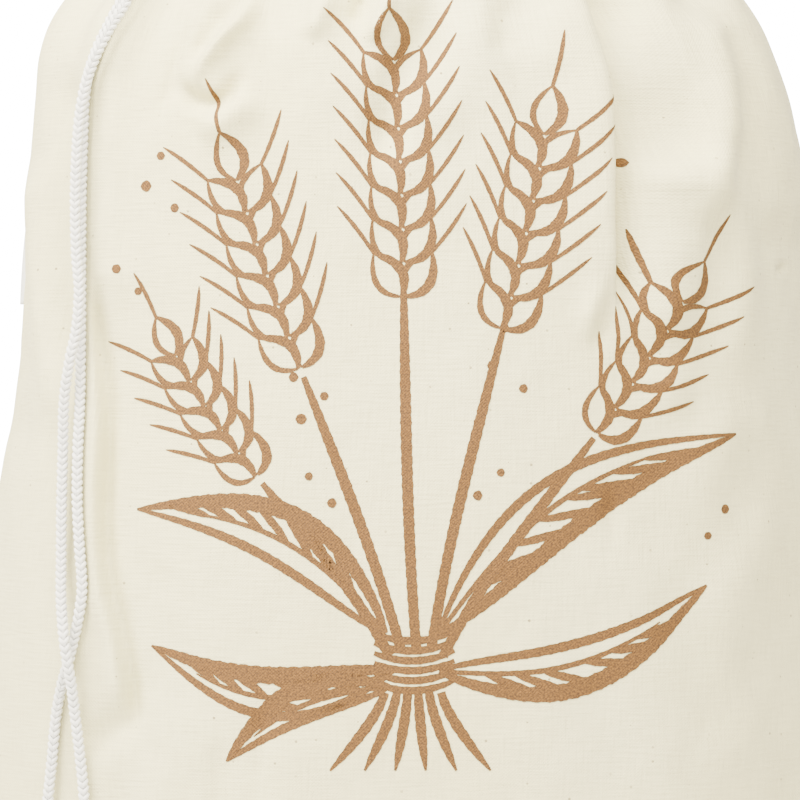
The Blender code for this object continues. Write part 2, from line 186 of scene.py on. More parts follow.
SECTIONS: tuple[Section, ...] = (
    Section(0.0, 0.0, 97.0, 56.0, 56.0, 2.7),
    Section(3.0, 0.0, 106.5, 63.6, 63.0, 2.6),
    Section(10.0, 0.0, 113.5, 70.0, 69.0, 2.55),
    Section(26.0, 0.2, 118.4, 75.2, 73.6, 2.45),
    Section(58.0, 0.6, 120.2, 77.8, 75.8, 2.4),
    Section(98.0, 1.0, 119.2, 78.0, 75.8, 2.35),
    Section(132.0, 2.2, 116.6, 77.0, 74.6, 2.3),
    Section(157.0, 3.0, 112.8, 76.0, 73.8, 2.3),
    Section(174.0, 2.8, 110.9, 75.0, 73.2, 2.3),
    Section(190.0, 2.9, 109.7, 74.0, 72.6, 2.3),
    Section(206.0, 2.9, 108.5, 73.0, 71.8, 2.3),
    Section(224.0, 2.4, 107.6, 71.6, 70.8, 2.3),
    Section(240.0, 1.5, 105.2, 69.6, 69.0, 2.25),
    Section(252.0, 0.0, 102.6, 66.8, 66.6, 2.2),
    Section(261.0, -0.6, 99.0, 63.4, 63.6, 2.15),
    Section(270.0, -0.6, 92.8, 59.2, 60.0, 2.1),
    Section(282.0, 0.6, 81.5, 52.0, 53.0, 2.0),
    Section(297.0, 3.2, 64.0, 42.0, 43.0, 2.0),
    Section(311.0, 6.2, 44.0, 33.5, 34.0, 2.0),
    Section(322.0, 8.0, 30.5, 28.8, 29.0, 2.0),
    Section(330.0, 8.0, 27.5, 27.5, 27.5, 2.0),
    Section(341.0, 8.0, 31.0, 31.0, 31.0, 2.0),
    Section(357.0, 8.0, 39.5, 38.5, 38.5, 2.0),
)

LIP_SHARE = 0.340
FRONT_MIDDLE = 0.25

GATHERS: tuple[Gather, ...] = (
    Gather(0.035, 0.85, 224.0),
    Gather(0.088, 1.00, 206.0),
    Gather(0.155, 1.10, 214.0),
    Gather(0.207, 0.95, 232.0),
    Gather(0.243, 1.00, 222.0),
    Gather(0.288, 1.05, 216.0),
    Gather(LIP_SHARE, 1.00, 240.0),
    Gather(0.386, 1.10, 204.0),
    Gather(0.445, 1.00, 212.0),
    Gather(0.515, 0.90, 222.0),
    Gather(0.575, 1.05, 210.0),
    Gather(0.630, 0.95, 226.0),
    Gather(0.700, 1.10, 205.0),
    Gather(0.755, 0.95, 220.0),
    Gather(0.815, 1.05, 212.0),
    Gather(0.865, 0.90, 230.0),
    Gather(0.920, 1.00, 216.0),
    Gather(0.965, 0.90, 226.0),
)

PLEAT: tuple[PleatPoint, ...] = (
    PleatPoint(-24.0, -24.0, 0.0),
    PleatPoint(-14.0, -13.2, 1.6),
    PleatPoint(-8.0, -6.8, 3.1),
    PleatPoint(-4.0, -2.4, 4.0),
    PleatPoint(-1.8, -0.3, 4.0),
    PleatPoint(-0.2, 1.2, 3.3),
    PleatPoint(1.0, 1.8, 2.2),
    PleatPoint(2.2, 1.2, 0.9),
    PleatPoint(3.8, -0.6, 0.0),
    PleatPoint(5.4, -1.8, -0.9),
    PleatPoint(6.8, -1.4, -1.8),
    PleatPoint(8.4, 0.4, -2.4),
    PleatPoint(10.4, 2.8, -2.2),
    PleatPoint(13.0, 6.4, -1.4),
    PleatPoint(17.0, 12.4, -0.5),
    PleatPoint(24.0, 24.0, 0.0),
)

CREASE: tuple[Pair, ...] = (
    (-85.2, 192.0), (-84.8, 182.5), (-84.2, 175.8), (-83.1, 169.1), (-81.8, 161.0), (-81.1, 153.0),
    (-81.2, 143.6), (-81.6, 130.2), (-81.3, 116.8), (-79.7, 106.1), (-77.5, 98.0), (-75.8, 90.0),
    (-74.6, 82.0), (-73.8, 67.0),
)


def beside(path: tuple[Pair, ...], shift: float) -> tuple[Pair, ...]:
    """A path of x and height, moved sideways by this much."""
    return tuple((x + shift, height) for x, height in path)


FOLDS: tuple[Fold, ...] = (
    Fold(-1, 4.2, 2.0, (
        (-70.0, 268.0), (-76.0, 256.0), (-79.6, 244.0), (-80.4, 226.0), (-80.6, 204.0), (-79.6, 182.0),
        (-78.0, 166.0),
    ), True),
    Fold(-1, 2.6, 3.4, beside(CREASE, -3.0), True),
    Fold(-1, 2.1, -4.2, beside(CREASE, 1.7), True),
    Fold(-1, 11.0, -2.2, beside(CREASE, 9.0), True),
    Fold(-1, 4.0, -3.0, ((-73.0, 77.0), (-77.0, 71.4), (-82.0, 67.8), (-88.5, 64.4))),
    Fold(-1, 5.0, 3.2, ((-101.0, 226.0), (-100.4, 207.0), (-98.6, 187.0), (-95.6, 166.0), (-93.4, 146.0))),
    Fold(-1, 4.2, -3.0, ((-92.0, 250.0), (-93.4, 226.0), (-93.2, 200.0), (-92.0, 176.0), (-90.0, 160.0))),
    Fold(-1, 2.3, -1.7, ((-59.5, 262.6), (-60.9, 254.7), (-64.3, 241.5), (-68.2, 228.0))),
    Fold(-1, 3.2, -3.2, ((-47.6, 264.6), (-51.9, 256.0), (-55.0, 250.7), (-57.7, 243.6))),
    Fold(-1, 2.1, 4.2, ((-39.3, 266.6), (-44.5, 257.3), (-49.8, 252.0), (-53.7, 246.8), (-57.0, 238.6))),
    Fold(-1, 2.5, -4.2, (
        (-64.5, 242.8), (-60.5, 239.6), (-56.4, 236.8), (-51.9, 235.3), (-48.0, 237.8), (-46.0, 242.6),
        (-45.6, 247.0),
    )),
    Fold(-1, 4.6, 3.0, ((-38.0, 238.5), (-47.5, 231.5), (-55.5, 225.0))),
    Fold(-1, 3.2, 3.0, ((-20.2, 267.0), (-26.5, 251.4))),
    Fold(-1, 1.8, -3.0, ((-12.4, 266.0), (-14.8, 255.8))),
    Fold(-1, 2.1, 4.2, ((-3.8, 266.6), (-10.6, 250.6))),
    Fold(-1, 5.6, -5.6, ((6.4, 267.0), (2.6, 252.0), (-1.8, 244.8), (-5.2, 233.0), (-8.0, 216.0))),
    Fold(-1, 7.0, 2.0, ((16.9, 266.0), (13.0, 246.8), (8.2, 222.0))),
    Fold(-1, 4.0, -1.7, ((26.0, 266.0), (25.2, 246.0))),
    Fold(-1, 5.0, 1.3, ((37.0, 266.0), (35.0, 240.0))),
    Fold(-1, 7.0, 4.8, ((75.0, 226.0), (73.2, 204.0), (70.6, 184.0), (67.0, 168.0))),
    Fold(-1, 4.4, -3.8, ((58.8, 238.0), (59.8, 218.0), (60.0, 200.0), (59.2, 180.0))),
    Fold(-1, 5.8, 6.4, (
        (75.5, 268.0), (81.0, 256.0), (83.2, 244.0), (83.4, 232.0), (81.0, 219.0), (78.2, 208.0),
        (76.8, 201.0),
    )),
    Fold(-1, 6.0, 2.9, ((86.0, 222.0), (88.0, 206.0), (90.0, 192.0), (88.0, 176.0), (79.0, 163.0))),
    Fold(-1, 5.0, 3.0, ((82.0, 227.0), (77.0, 220.0), (71.0, 217.0), (63.0, 216.6))),
    Fold(-1, 12.0, -2.6, ((102.0, 212.0), (106.0, 150.0), (106.0, 24.0))),
    Fold(-1, 8.0, 1.5, ((84.5, 160.0), (82.0, 120.0), (85.0, 52.0))),
    Fold(-1, 1.4, -1.1, ((101.0, 192.0), (104.0, 192.6), (106.4, 194.4))),
    Fold(-1, 3.0, 2.4, ((50.6, 188.0), (44.8, 173.5))),
    Fold(-1, 2.4, -3.0, ((54.4, 183.0), (47.9, 171.2))),
    Fold(-1, 5.0, 1.4, ((50.6, 181.0), (53.0, 169.0))),
    Fold(-1, 2.6, -1.0, ((53.2, 135.0), (53.6, 117.0))),
    Fold(-1, 8.5, 1.5, ((88.2, 160.0), (77.0, 138.0), (66.1, 112.8))),
    Fold(-1, 8.0, -1.6, ((96.8, 152.0), (88.0, 133.0), (75.3, 110.8))),
    Fold(-1, 8.5, 1.6, ((103.7, 131.0), (91.0, 112.0), (78.0, 90.6))),
    Fold(-1, 9.0, -1.6, ((97.4, 96.6), (74.3, 62.2))),
    Fold(-1, 6.0, 1.8, ((-66.2, 67.0), (-68.0, 14.0))),
    Fold(-1, 4.0, -1.3, ((-77.5, 62.0), (-78.5, 16.0))),
    Fold(-1, 3.0, -1.3, ((-49.6, 72.0), (-50.0, 12.0))),
    Fold(-1, 2.6, -1.0, ((-38.6, 80.0), (-38.9, 52.0))),
    Fold(-1, 9.0, 1.3, ((-30.0, 76.0), (-34.0, 16.0))),
    Fold(-1, 12.0, 1.8, ((60.0, 124.0), (72.0, 26.0))),
    Fold(-1, 1.5, -0.7, ((-77.0, 112.4), (-66.0, 109.2), (-55.0, 104.4))),
    Fold(1, 9.0, -2.4, ((-80.0, 252.0), (-72.0, 110.0))),
    Fold(1, 10.0, 2.2, ((-30.0, 258.0), (-38.0, 168.0))),
    Fold(1, 8.0, -2.2, ((26.0, 252.0), (30.0, 138.0))),
    Fold(1, 9.0, 2.0, ((78.0, 246.0), (70.0, 58.0))),
    Fold(1, 10.0, 1.8, ((-52.0, 124.0), (-60.0, 16.0))),
    Fold(1, 4.0, -2.0, ((-10.0, 262.0), (-14.0, 236.0), (-10.0, 214.0))),
    Fold(1, 4.0, 1.8, ((52.0, 262.0), (58.0, 240.0), (54.0, 212.0))),
    Fold(1, 3.0, -1.8, ((44.0, 190.0), (60.0, 176.0), (78.0, 172.0))),
    Fold(1, 5.0, 1.6, ((-90.0, 150.0), (-70.0, 132.0), (-50.0, 124.0))),
)

DENTS: tuple[Dent, ...] = (
    Dent(-1, -48.5, 246.5, 4.0, 5.5, -1.2),
    Dent(-1, 57.5, 260.5, 6.5, 8.0, -5.0),
    Dent(-1, 68.0, 233.0, 7.5, 9.0, -2.4),
    Dent(-1, 69.5, 160.5, 6.0, 6.0, 2.6),
    Dent(-1, -75.0, 74.5, 4.5, 5.0, -1.6),
    Dent(-1, -106.0, 150.0, 4.0, 6.0, -1.8),
    Dent(-1, -105.6, 167.0, 4.0, 5.0, -1.4),
    Dent(-1, 6.0, 130.0, 60.0, 60.0, 1.5),
    Dent(1, 20.0, 110.0, 50.0, 45.0, 1.8),
    Dent(1, -66.0, 200.0, 14.0, 16.0, -2.2),
)


@dataclass(frozen=True)
class Wave:
    """Waves round the cloth: how far they stand out, how many there are, how they lean, where they start."""

    rise: float
    count: float
    lean: float
    start: float

    def at(self, turn: np.ndarray, height: float) -> np.ndarray:
        """The waves at these turns round the bag, in radians, and this height."""
        return self.rise * np.sin(self.count * turn + self.lean * height + self.start)


RIPPLES: tuple[Wave, ...] = (
    Wave(0.20, 9.0, 0.021, 0.6),
    Wave(0.16, 14.0, -0.034, 2.1),
    Wave(0.12, 23.0, 0.052, 4.0),
    Wave(0.10, 5.0, 0.083, 1.3),
    Wave(0.10, 37.0, 0.19, 2.6),
    Wave(0.08, 31.0, -0.27, 0.2),
)

FRILL: tuple[Wave, ...] = (
    Wave(0.75, 27.0, 0.050, 0.4),
    Wave(0.60, 41.0, -0.040, 1.9),
    Wave(0.50, 11.0, 0.030, 3.1),
)

LIFT: tuple[Wave, ...] = (Wave(0.55, 5.0, 0.0, 0.8), Wave(0.45, 13.0, 0.0, 2.2))


@dataclass(frozen=True)
class BagSizes:
    """The bag's named sizes, in millimetres unless they say otherwise."""

    neck_height: float = 330.0
    gather_depth: float = 7.8
    gather_power: float = 1.4
    slit_foot: float = 316.0
    slit_full: float = 324.0
    slit_half_width: float = 6.0
    slit_share: float = 0.035
    lip_faded: float = 173.0
    lip_full: float = 199.0
    lip_lean: float = 3.3
    lip_lean_foot: float = 200.0
    lip_lean_full: float = 252.0
    lip_top_full: float = 246.0
    lip_top_faded: float = 306.0
    seam_fade: float = 14.0
    fold_taper: float = 14.0
    fold_taper_share: float = 0.35
    cloth_width: float = 612.0
    front_columns: int = 420
    back_columns: int = 110
    share_steps: int = 20000
    lip_extra: float = 0.8
    lip_offset: float = 0.006
    lip_spread: float = 0.016
    crease_share: float = 0.106
    crease_spread: float = 0.019
    crease_extra: float = 0.9
    seam_groove: float = 0.7
    seam_groove_half_width: float = 1.1
    seam_run_out: float = 30.0
    ripple_full: float = 40.0
    frill_foot: float = 262.0
    frill_full: float = 345.0
    lift_foot: float = 336.0
    lift_full: float = 357.0
    lift_drop: float = 0.5
    base_scales: tuple[float, ...] = (0.06, 0.34, 0.64, 0.88)
    base_rise: float = 0.9
    hem_foot: float = 313.0
    hem_gap: float = 1.1
    hem_inner_radius: float = 13.0
    hem_middle: float = 8.0
    hem_tight: float = 326.0
    hem_loose_foot: float = 333.0
    hem_loose_full: float = 350.0
    hem_unevenness: float = 0.16
    hem_drop: float = 0.35
    hem_row_step: int = 3


@dataclass(frozen=True)
class RowBand:
    """A band of the cloth's rows: where it ends, and how far apart its rows are."""

    top: float
    spacing: float


ROW_BANDS: tuple[RowBand, ...] = (
    RowBand(12.0, 2.4),
    RowBand(56.0, 6.3),
    RowBand(112.0, 3.2),
    RowBand(190.0, 4.2),
    RowBand(270.0, 0.95),
    RowBand(357.0, 2.7),
)


class Outline:
    """The bag's plain outline at one height."""

    STEPS = 480

    def __init__(self, profile: Profile, height: float) -> None:
        """Works out the outline's points.

        Args:
            profile: The bag's smooth profile.
            height: The height in millimetres.
        """
        middle, half_width, front, back, squareness = profile.at(height)
        turn = np.linspace(0.0, 2.0 * math.pi, 2 * self.STEPS + 1)
        cosine, sine = np.cos(turn), np.sin(turn)
        power = 2.0 / squareness
        depth = np.where(sine > 0.0, front, back)
        self.x = middle - half_width * np.sign(cosine) * np.abs(cosine) ** power
        self.y = -depth * np.sign(sine) * np.abs(sine) ** power
        run = np.concatenate([[0.0], np.cumsum(np.hypot(np.diff(self.x), np.diff(self.y)))])
        front_run = run[self.STEPS]
        past = 0.5 + 0.5 * (run - front_run) / (run[-1] - front_run)
        self.shares = np.where(run <= front_run, 0.5 * run / front_run, past)
        self.girth = float(run[-1])

    def places(self, shares: np.ndarray) -> ArrayPair:
        """The points at these shares, as x and y."""
        wrapped = shares % 1.0
        return np.interp(wrapped, self.shares, self.x), np.interp(wrapped, self.shares, self.y)

    def frames(self, shares: np.ndarray, reach: float = 0.004) -> tuple[np.ndarray, ...]:
        """The points at these shares, with the way along the outline at each.

        Args:
            shares: Where to read it.
            reach: How far off the slope is read, as a share.

        Returns:
            x, y, and the x and y of the way along. The way out is (y, -x) of it.
        """
        x, y = self.places(shares)
        x_before, y_before = self.places(shares - reach)
        x_after, y_after = self.places(shares + reach)
        length = np.hypot(x_after - x_before, y_after - y_before)
        return x, y, (x_after - x_before) / length, (y_after - y_before) / length


class Profile:
    """The bag's sections joined up smoothly."""

    def __init__(self, sections: Sequence[Section]) -> None:
        """Makes a curve of each of the sections' sizes.

        Args:
            sections: The sections, from the foot up.
        """
        heights = [section.height for section in sections]
        names = ("middle", "half_width", "front", "back", "squareness")
        tables = [[getattr(section, name) for section in sections] for name in names]
        self.curves = [Curve1D(heights, table) for table in tables]

    def at(self, height: float) -> tuple[float, ...]:
        """The middle, half width, front, back and squareness at a height."""
        return tuple(float(curve.at(height)) for curve in self.curves)


class Relief:
    """What stands out of the plain outline: gathers, the deep pleat, folds and dents.

    Every distance is in millimetres.
    """

    REACH = 3.0

    def __init__(self, sizes: BagSizes) -> None:
        """Keeps the sizes, and the deep pleat as two curves.

        Args:
            sizes: The bag's sizes.
        """
        self.sizes = sizes
        along = [point.along for point in PLEAT]
        self.pleat_across = Curve1D(along, [point.across for point in PLEAT])
        self.pleat_out = Curve1D(along, [point.out for point in PLEAT])

    def rises(self, height: float) -> list[float]:
        """How deep each ridge of the gathers is at a height, against the deepest.

        Args:
            height: The height.

        Returns:
            The depth of each ridge.
        """
        neck, power = self.sizes.neck_height, self.sizes.gather_power
        rises = []
        for ridge in GATHERS:
            part = float(np.clip((height - ridge.runs_out) / (neck - ridge.runs_out), 0.0, 1.0))
            rises.append(ridge.depth * part**power)
        return rises

    def gathers(self, shares: np.ndarray, height: float) -> np.ndarray:
        """How far the gathers stand out.

        Args:
            shares: The points' shares.
            height: Their height.

        Returns:
            How far each point stands out.
        """
        ridges = np.array([gather.share for gather in GATHERS] + [GATHERS[0].share + 1.0])
        rises = self.rises(height)
        rises = np.array(rises + rises[:1])
        wrapped = shares % 1.0
        wrapped = np.where(wrapped < ridges[0], wrapped + 1.0, wrapped)
        index = np.clip(np.searchsorted(ridges, wrapped, side="right") - 1, 0, len(ridges) - 2)
        part = (wrapped - ridges[index]) / (ridges[index + 1] - ridges[index])
        depth = (1.0 - part) * rises[index] + part * rises[index + 1]
        return self.sizes.gather_depth * depth * np.cos(2.0 * math.pi * part)

    def pleat(self, shares: np.ndarray, height: float, girth: float) -> ArrayPair:
        """How far the deep pleat moves the cloth.

        Args:
            shares: The points' shares.
            height: Their height.
            girth: The outline's length there.

        Returns:
            How far each point moves along the outline, and out of it.
        """
        sizes = self.sizes
        strength = smoothstep(sizes.lip_faded, sizes.lip_full, height)
        strength = strength * (1.0 - smoothstep(sizes.lip_top_full, sizes.lip_top_faded, height))
        lean = sizes.lip_lean * (1.0 - smoothstep(sizes.lip_lean_foot, sizes.lip_lean_full, height))
        along = (shares - LIP_SHARE) * girth + lean
        inside = (along > PLEAT[0].along) & (along < PLEAT[-1].along)
        across = np.where(inside, self.pleat_across.at(along) - along, 0.0)
        return strength * across, strength * np.where(inside, self.pleat_out.at(along), 0.0)

    def slit(self, shares: np.ndarray, height: float) -> np.ndarray:
        """How far the open side seam of the hem moves the cloth along the outline.

        Args:
            shares: The points' shares.
            height: Their height.

        Returns:
            How far each point moves.
        """
        sizes = self.sizes
        opening = sizes.slit_half_width * smoothstep(sizes.slit_foot, sizes.slit_full, height)
        first = np.clip(1.0 - shares / sizes.slit_share, 0.0, 1.0)
        last = np.clip(1.0 - (1.0 - shares) / sizes.slit_share, 0.0, 1.0)
        return opening * (first - last)

    def fold(self, fold: Fold, x: np.ndarray, height: float) -> np.ndarray:
        """How strong one fold is.

        Args:
            fold: The fold.
            x: The points' places across the bag.
            height: Their height.

        Returns:
            The strength at each point, from 0 to 1.
        """
        sizes = self.sizes
        lengths = [math.dist(start, end) for start, end in zip(fold.path, fold.path[1:])]
        total, run = sum(lengths), 0.0
        taper = min(sizes.fold_taper, sizes.fold_taper_share * total)
        nearest = np.full(x.shape, np.inf)
        nearest_run = np.zeros(x.shape)
        for start, end, length in zip(fold.path, fold.path[1:], lengths):
            way = (end[0] - start[0], end[1] - start[1])
            part = ((x - start[0]) * way[0] + (height - start[1]) * way[1]) / length**2
            part = np.clip(part, 0.0, 1.0)
            away = np.hypot(x - start[0] - part * way[0], height - start[1] - part * way[1])
            closer = away < nearest
            nearest = np.where(closer, away, nearest)
            nearest_run = np.where(closer, run + part * length, nearest_run)
            run += length
        ends = smoothstep(0.0, taper, nearest_run) * smoothstep(0.0, taper, total - nearest_run)
        return ends * bell(nearest, fold.half_width)

    def folds(self, x: np.ndarray, y: np.ndarray, height: float) -> ArrayPair:
        """How far folds and dents move the cloth.

        Args:
            x: The points' places across the bag, on the plain outline.
            y: Their places from front to back.
            height: Their height.

        Returns:
            How far each point moves out of the outline, and along y.
        """
        out, ahead = np.zeros(x.shape), np.zeros(x.shape)
        for fold in FOLDS:
            heights = [place[1] for place in fold.path]
            reach = self.REACH * fold.half_width
            if min(heights) - reach < height < max(heights) + reach:
                side = smoothstep(0.0, self.sizes.seam_fade, y * fold.side)
                rise = fold.out * side * self.fold(fold, x, height)
                if fold.straight:
                    ahead += fold.side * rise
                else:
                    out += rise
        for dent in DENTS:
            side = smoothstep(0.0, self.sizes.seam_fade, y * dent.side)
            rise = dent.out * side * bell(x - dent.x, dent.half_width)
            out += rise * bell(height - dent.z, dent.half_height)
        return out, ahead

    def ripples(self, shares: np.ndarray, height: float) -> np.ndarray:
        """The slight unevenness of cloth that nothing stretches: low, long waves that lean a little.

        Args:
            shares: The points' shares.
            height: Their height.

        Returns:
            How far each point stands out.
        """
        turn = 2.0 * math.pi * shares
        waves = sum(wave.at(turn, height) for wave in RIPPLES)
        return waves * smoothstep(0.0, self.sizes.ripple_full, height)

    def frill(self, shares: np.ndarray, height: float) -> ArrayPair:
        """The uneven small folds of the gathers.

        Args:
            shares: The points' shares.
            height: Their height.

        Returns:
            How far each point stands out, and how far it is lifted.
        """
        sizes, turn = self.sizes, 2.0 * math.pi * shares
        waves = sum(wave.at(turn, height) for wave in FRILL)
        lift = sum(wave.at(turn, height) for wave in LIFT) - sizes.lift_drop
        strength = smoothstep(sizes.frill_foot, sizes.frill_full, height)
        return strength * waves, lift * smoothstep(sizes.lift_foot, sizes.lift_full, height)

    def seams(self, shares: np.ndarray, height: float) -> np.ndarray:
        """The grooves of the two side seams.

        Args:
            shares: The points' shares.
            height: Their height.

        Returns:
            How far each point stands out.
        """
        sizes = self.sizes
        from_seam = np.minimum(shares, 1.0 - shares)
        from_seam = np.minimum(from_seam, np.abs(shares - 0.5)) * sizes.cloth_width
        fade = 1.0 - smoothstep(sizes.slit_foot - sizes.seam_run_out, sizes.slit_foot, height)
        return -sizes.seam_groove * fade * bell(from_seam, sizes.seam_groove_half_width)


@dataclass(frozen=True)
class CordBed:
    """How the cloth gives way under a free strand, in millimetres."""

    radius: float = 1.78
    curl: float = 0.42
    softness: float = 0.22
    faded: float = 300.0
    fade: float = 16.0
    reach: float = 2.0
    limit: float = 60.0

    def press(self, route: Sequence[Triple], x: np.ndarray, y: np.ndarray, height: float) -> np.ndarray:
        """How far back the strand holds the front.

        Args:
            route: The strand's middle line, from its top down.
            x: The points' places across the bag.
            y: Their places from front to back.
            height: Their height.

        Returns:
            How far back each point is held.
        """
        places = np.asarray(route, float)[::-1]
        middle, before, after = (
            np.array([np.interp(level, places[:, 2], places[:, axis]) for axis in range(2)])
            for level in (height, height - self.reach, height + self.reach)
        )
        upright = 1.0 / math.hypot(1.0, (after[0] - before[0]) / (2.0 * self.reach))
        gap = y - middle[1] - self.radius + self.curl * ((x - middle[0]) * upright) ** 2
        share = smoothstep(self.faded, self.faded - self.fade, height)
        held = np.exp(-np.clip(gap / self.softness, -self.limit, self.limit))
        return share * self.softness * np.log1p(held)


class ClothSurface:
    """The cloth's outer face as a grid of points: under the base, up the wall, and down inside the hem."""

    def __init__(self, sizes: BagSizes, strands: Sequence[Sequence[Triple]]) -> None:
        """Works out the whole grid.

        Args:
            sizes: The bag's sizes.
            strands: The routes of the strands that lie on the front.
        """
        self.sizes = sizes
        self.strands = strands
        self.bed = CordBed()
        self.profile = Profile(SECTIONS)
        self.relief = Relief(sizes)
        self.shares = self._column_shares()
        self.wall_heights = self._row_heights()
        wall = np.stack([self._wall_row(height) for height in self.wall_heights])
        base = self._base_rows(wall[0])
        hem = self._hem_rows(wall)
        self.first_wall_row = len(base)
        self.points = np.concatenate([base, wall, hem]) * MM
        steps = np.linalg.norm(np.diff(self.points, axis=0), axis=2)
        middle = int(np.argmin(np.abs(self.shares - FRONT_MIDDLE)))
        self.lengths = np.concatenate([[0.0], np.cumsum(steps[:, middle])])
        self.wall_lengths = self.lengths[self.first_wall_row :][: len(self.wall_heights)]
        self.normals = self._normals()

    def _column_shares(self) -> np.ndarray:
        """The share of each column, closer together on the front and at the deep pleat's lip."""
        sizes = self.sizes
        fine = np.linspace(0.0, 1.0, sizes.share_steps + 1)
        weight = np.where(fine < 0.5, sizes.front_columns / 0.5, sizes.back_columns / 0.5)
        extra = sizes.lip_extra * bell(fine - LIP_SHARE - sizes.lip_offset, sizes.lip_spread)
        extra = extra + sizes.crease_extra * bell(fine - sizes.crease_share, sizes.crease_spread)
        weight = weight * (1.0 + extra)
        run = np.concatenate([[0.0], np.cumsum(0.5 * (weight[1:] + weight[:-1]))])
        count = sizes.front_columns + sizes.back_columns
        return np.interp(np.linspace(0.0, run[-1], count + 1), run, fine)

    def _row_heights(self) -> np.ndarray:
        """The height of each row of the wall, from the bands of rows."""
        heights, foot = [0.0], 0.0
        for band in ROW_BANDS:
            count = round((band.top - foot) / band.spacing)
            heights += [foot + (band.top - foot) * index / count for index in range(1, count + 1)]
            foot = band.top
        return np.array(heights)

    def _wall_row(self, height: float) -> np.ndarray:
        """The wall's points at one height, in millimetres.

        Args:
            height: The height.

        Returns:
            The points, one row each.
        """
        outline = Outline(self.profile, height)
        x, y, along_x, along_y = outline.frames(self.shares)
        across, out = self.relief.pleat(self.shares, height, outline.girth)
        across = across + self.relief.slit(self.shares, height)
        away, ahead = self.relief.folds(x, y, height)
        out = out + self.relief.gathers(self.shares, height) + away
        out = out + self.relief.ripples(self.shares, height) + self.relief.seams(self.shares, height)
        frill, lift = self.relief.frill(self.shares, height)
        out = out + frill
        x, y = x + along_x * across + along_y * out, y + along_y * across - along_x * out + ahead
        for strand in self.strands:
            y = y + self.bed.press(strand, x, y, height)
        return np.stack([x, y, height + lift], axis=1)

    def _base_rows(self, foot: np.ndarray) -> np.ndarray:
        """The rows under the bag, from its middle out to the foot of the wall.

        Args:
            foot: The wall's lowest row.

        Returns:
            The rows.
        """
        rows = []
        for scale in self.sizes.base_scales:
            row = foot * scale
            row[:, 2] = self.sizes.base_rise * (1.0 - scale) ** 0.5 * smoothstep(1.0, 0.6, scale)
            rows.append(row)
        return np.stack(rows)

    def _hem_rows(self, wall: np.ndarray) -> np.ndarray:
        """The hem's turned-in layer, from the mouth's edge down to its line of stitches.

        Args:
            wall: The wall's rows, from the foot up.

        Returns:
            The rows.
        """
        sizes = self.sizes
        middle = np.array([sizes.hem_middle, 0.0])
        rows = []
        inward = [height for height in self.wall_heights[::-1] if height > sizes.hem_foot]
        for height in inward[:: sizes.hem_row_step]:
            index = int(np.argmin(np.abs(self.wall_heights - height)))
            row = wall[index].copy()
            spread = row[:, :2] - middle
            radius = np.linalg.norm(spread, axis=1)
            loose = smoothstep(sizes.hem_loose_foot, sizes.hem_loose_full, height)
            tight = smoothstep(sizes.hem_foot, sizes.hem_tight, height) * (1.0 - loose)
            inner = sizes.hem_inner_radius + sizes.hem_unevenness * (radius - radius.mean())
            beside_wall = radius - sizes.hem_gap
            wanted = (1.0 - tight) * beside_wall + tight * np.minimum(beside_wall, inner)
            row[:, :2] = middle + spread * (wanted / radius)[:, None]
            row[:, 2] -= sizes.hem_drop
            rows.append(row)
        return np.stack(rows)

    def _normals(self) -> np.ndarray:
        """The outward direction at each point of the grid."""
        up = np.gradient(self.points, axis=0)
        padded = np.concatenate([self.points[:, -2:-1], self.points, self.points[:, 1:2]], axis=1)
        along = (padded[:, 2:] - padded[:, :-2]) * 0.5
        normals = np.cross(along, up)
        return normals / np.maximum(np.linalg.norm(normals, axis=2, keepdims=True), 1e-12)

    def sample(self, shares: np.ndarray, heights: np.ndarray) -> ArrayPair:
        """Points of the wall, with the outward direction at each.

        Args:
            shares: The share of each wanted point.
            heights: The height of each, in millimetres.

        Returns:
            The points in metres and the unit directions, one row each.
        """
        column = np.interp(shares, self.shares, np.arange(len(self.shares)))
        row = np.interp(heights, self.wall_heights, np.arange(len(self.wall_heights))) + self.first_wall_row
        left = np.clip(column.astype(int), 0, len(self.shares) - 2)
        low = np.clip(row.astype(int), 0, len(self.points) - 2)
        s, t = (column - left)[:, None], (row - low)[:, None]
        found = []
        for grid in (self.points, self.normals):
            bottom = grid[low, left] * (1.0 - s) + grid[low, left + 1] * s
            top = grid[low + 1, left] * (1.0 - s) + grid[low + 1, left + 1] * s
            found.append(bottom * (1.0 - t) + top * t)
        return found[0], found[1] / np.linalg.norm(found[1], axis=1, keepdims=True)


@dataclass(frozen=True)
class CottonFinish:
    """Unbleached cotton in plain weave, with painted shade in the gaps between its threads.

    Threads, depths and seeds are in millimetres. A run or a patch says how many features a metre holds.
    """

    name: str = "unbleached_cotton"
    colour: Triple = (0.66, 0.632, 0.402)
    warm: Triple = (0.66, 0.602, 0.322)
    fleck: Triple = (0.12, 0.085, 0.045)
    # The gap colour is painted shade between the threads, mixed in where the threads run thin.
    gap: Triple = (0.35, 0.28, 0.125)
    thread: float = 0.43
    thread_grain: float = 0.55
    warp_run: float = 110.0
    weft_run: float = 120.0
    patches: Triple = (14.0, 11.0, 0.0)
    patch_threads: float = 0.35
    patch_range: Pair = (0.65, 1.05)
    warmest: float = 0.4
    unevenness: float = 2.6
    gap_shade_weave: float = 0.35
    gap_shade_range: Pair = (1.6, 3.4)
    deepest_gap_shade: float = 0.22
    weave_depth: float = 0.03
    thread_depth: float = 0.20
    crinkles: Triple = (95.0, 55.0, 0.0)
    crinkle_depth: float = 0.9
    seed_spacing: float = 5.2
    seed_size: float = 0.42
    seed_rarity: float = 0.68
    seed_smallest: float = -0.02
    seed_edge: float = 0.02
    seed_strength: Pair = (0.25, 0.75)
    roughness: float = 0.92
    sheen: float = 0.12


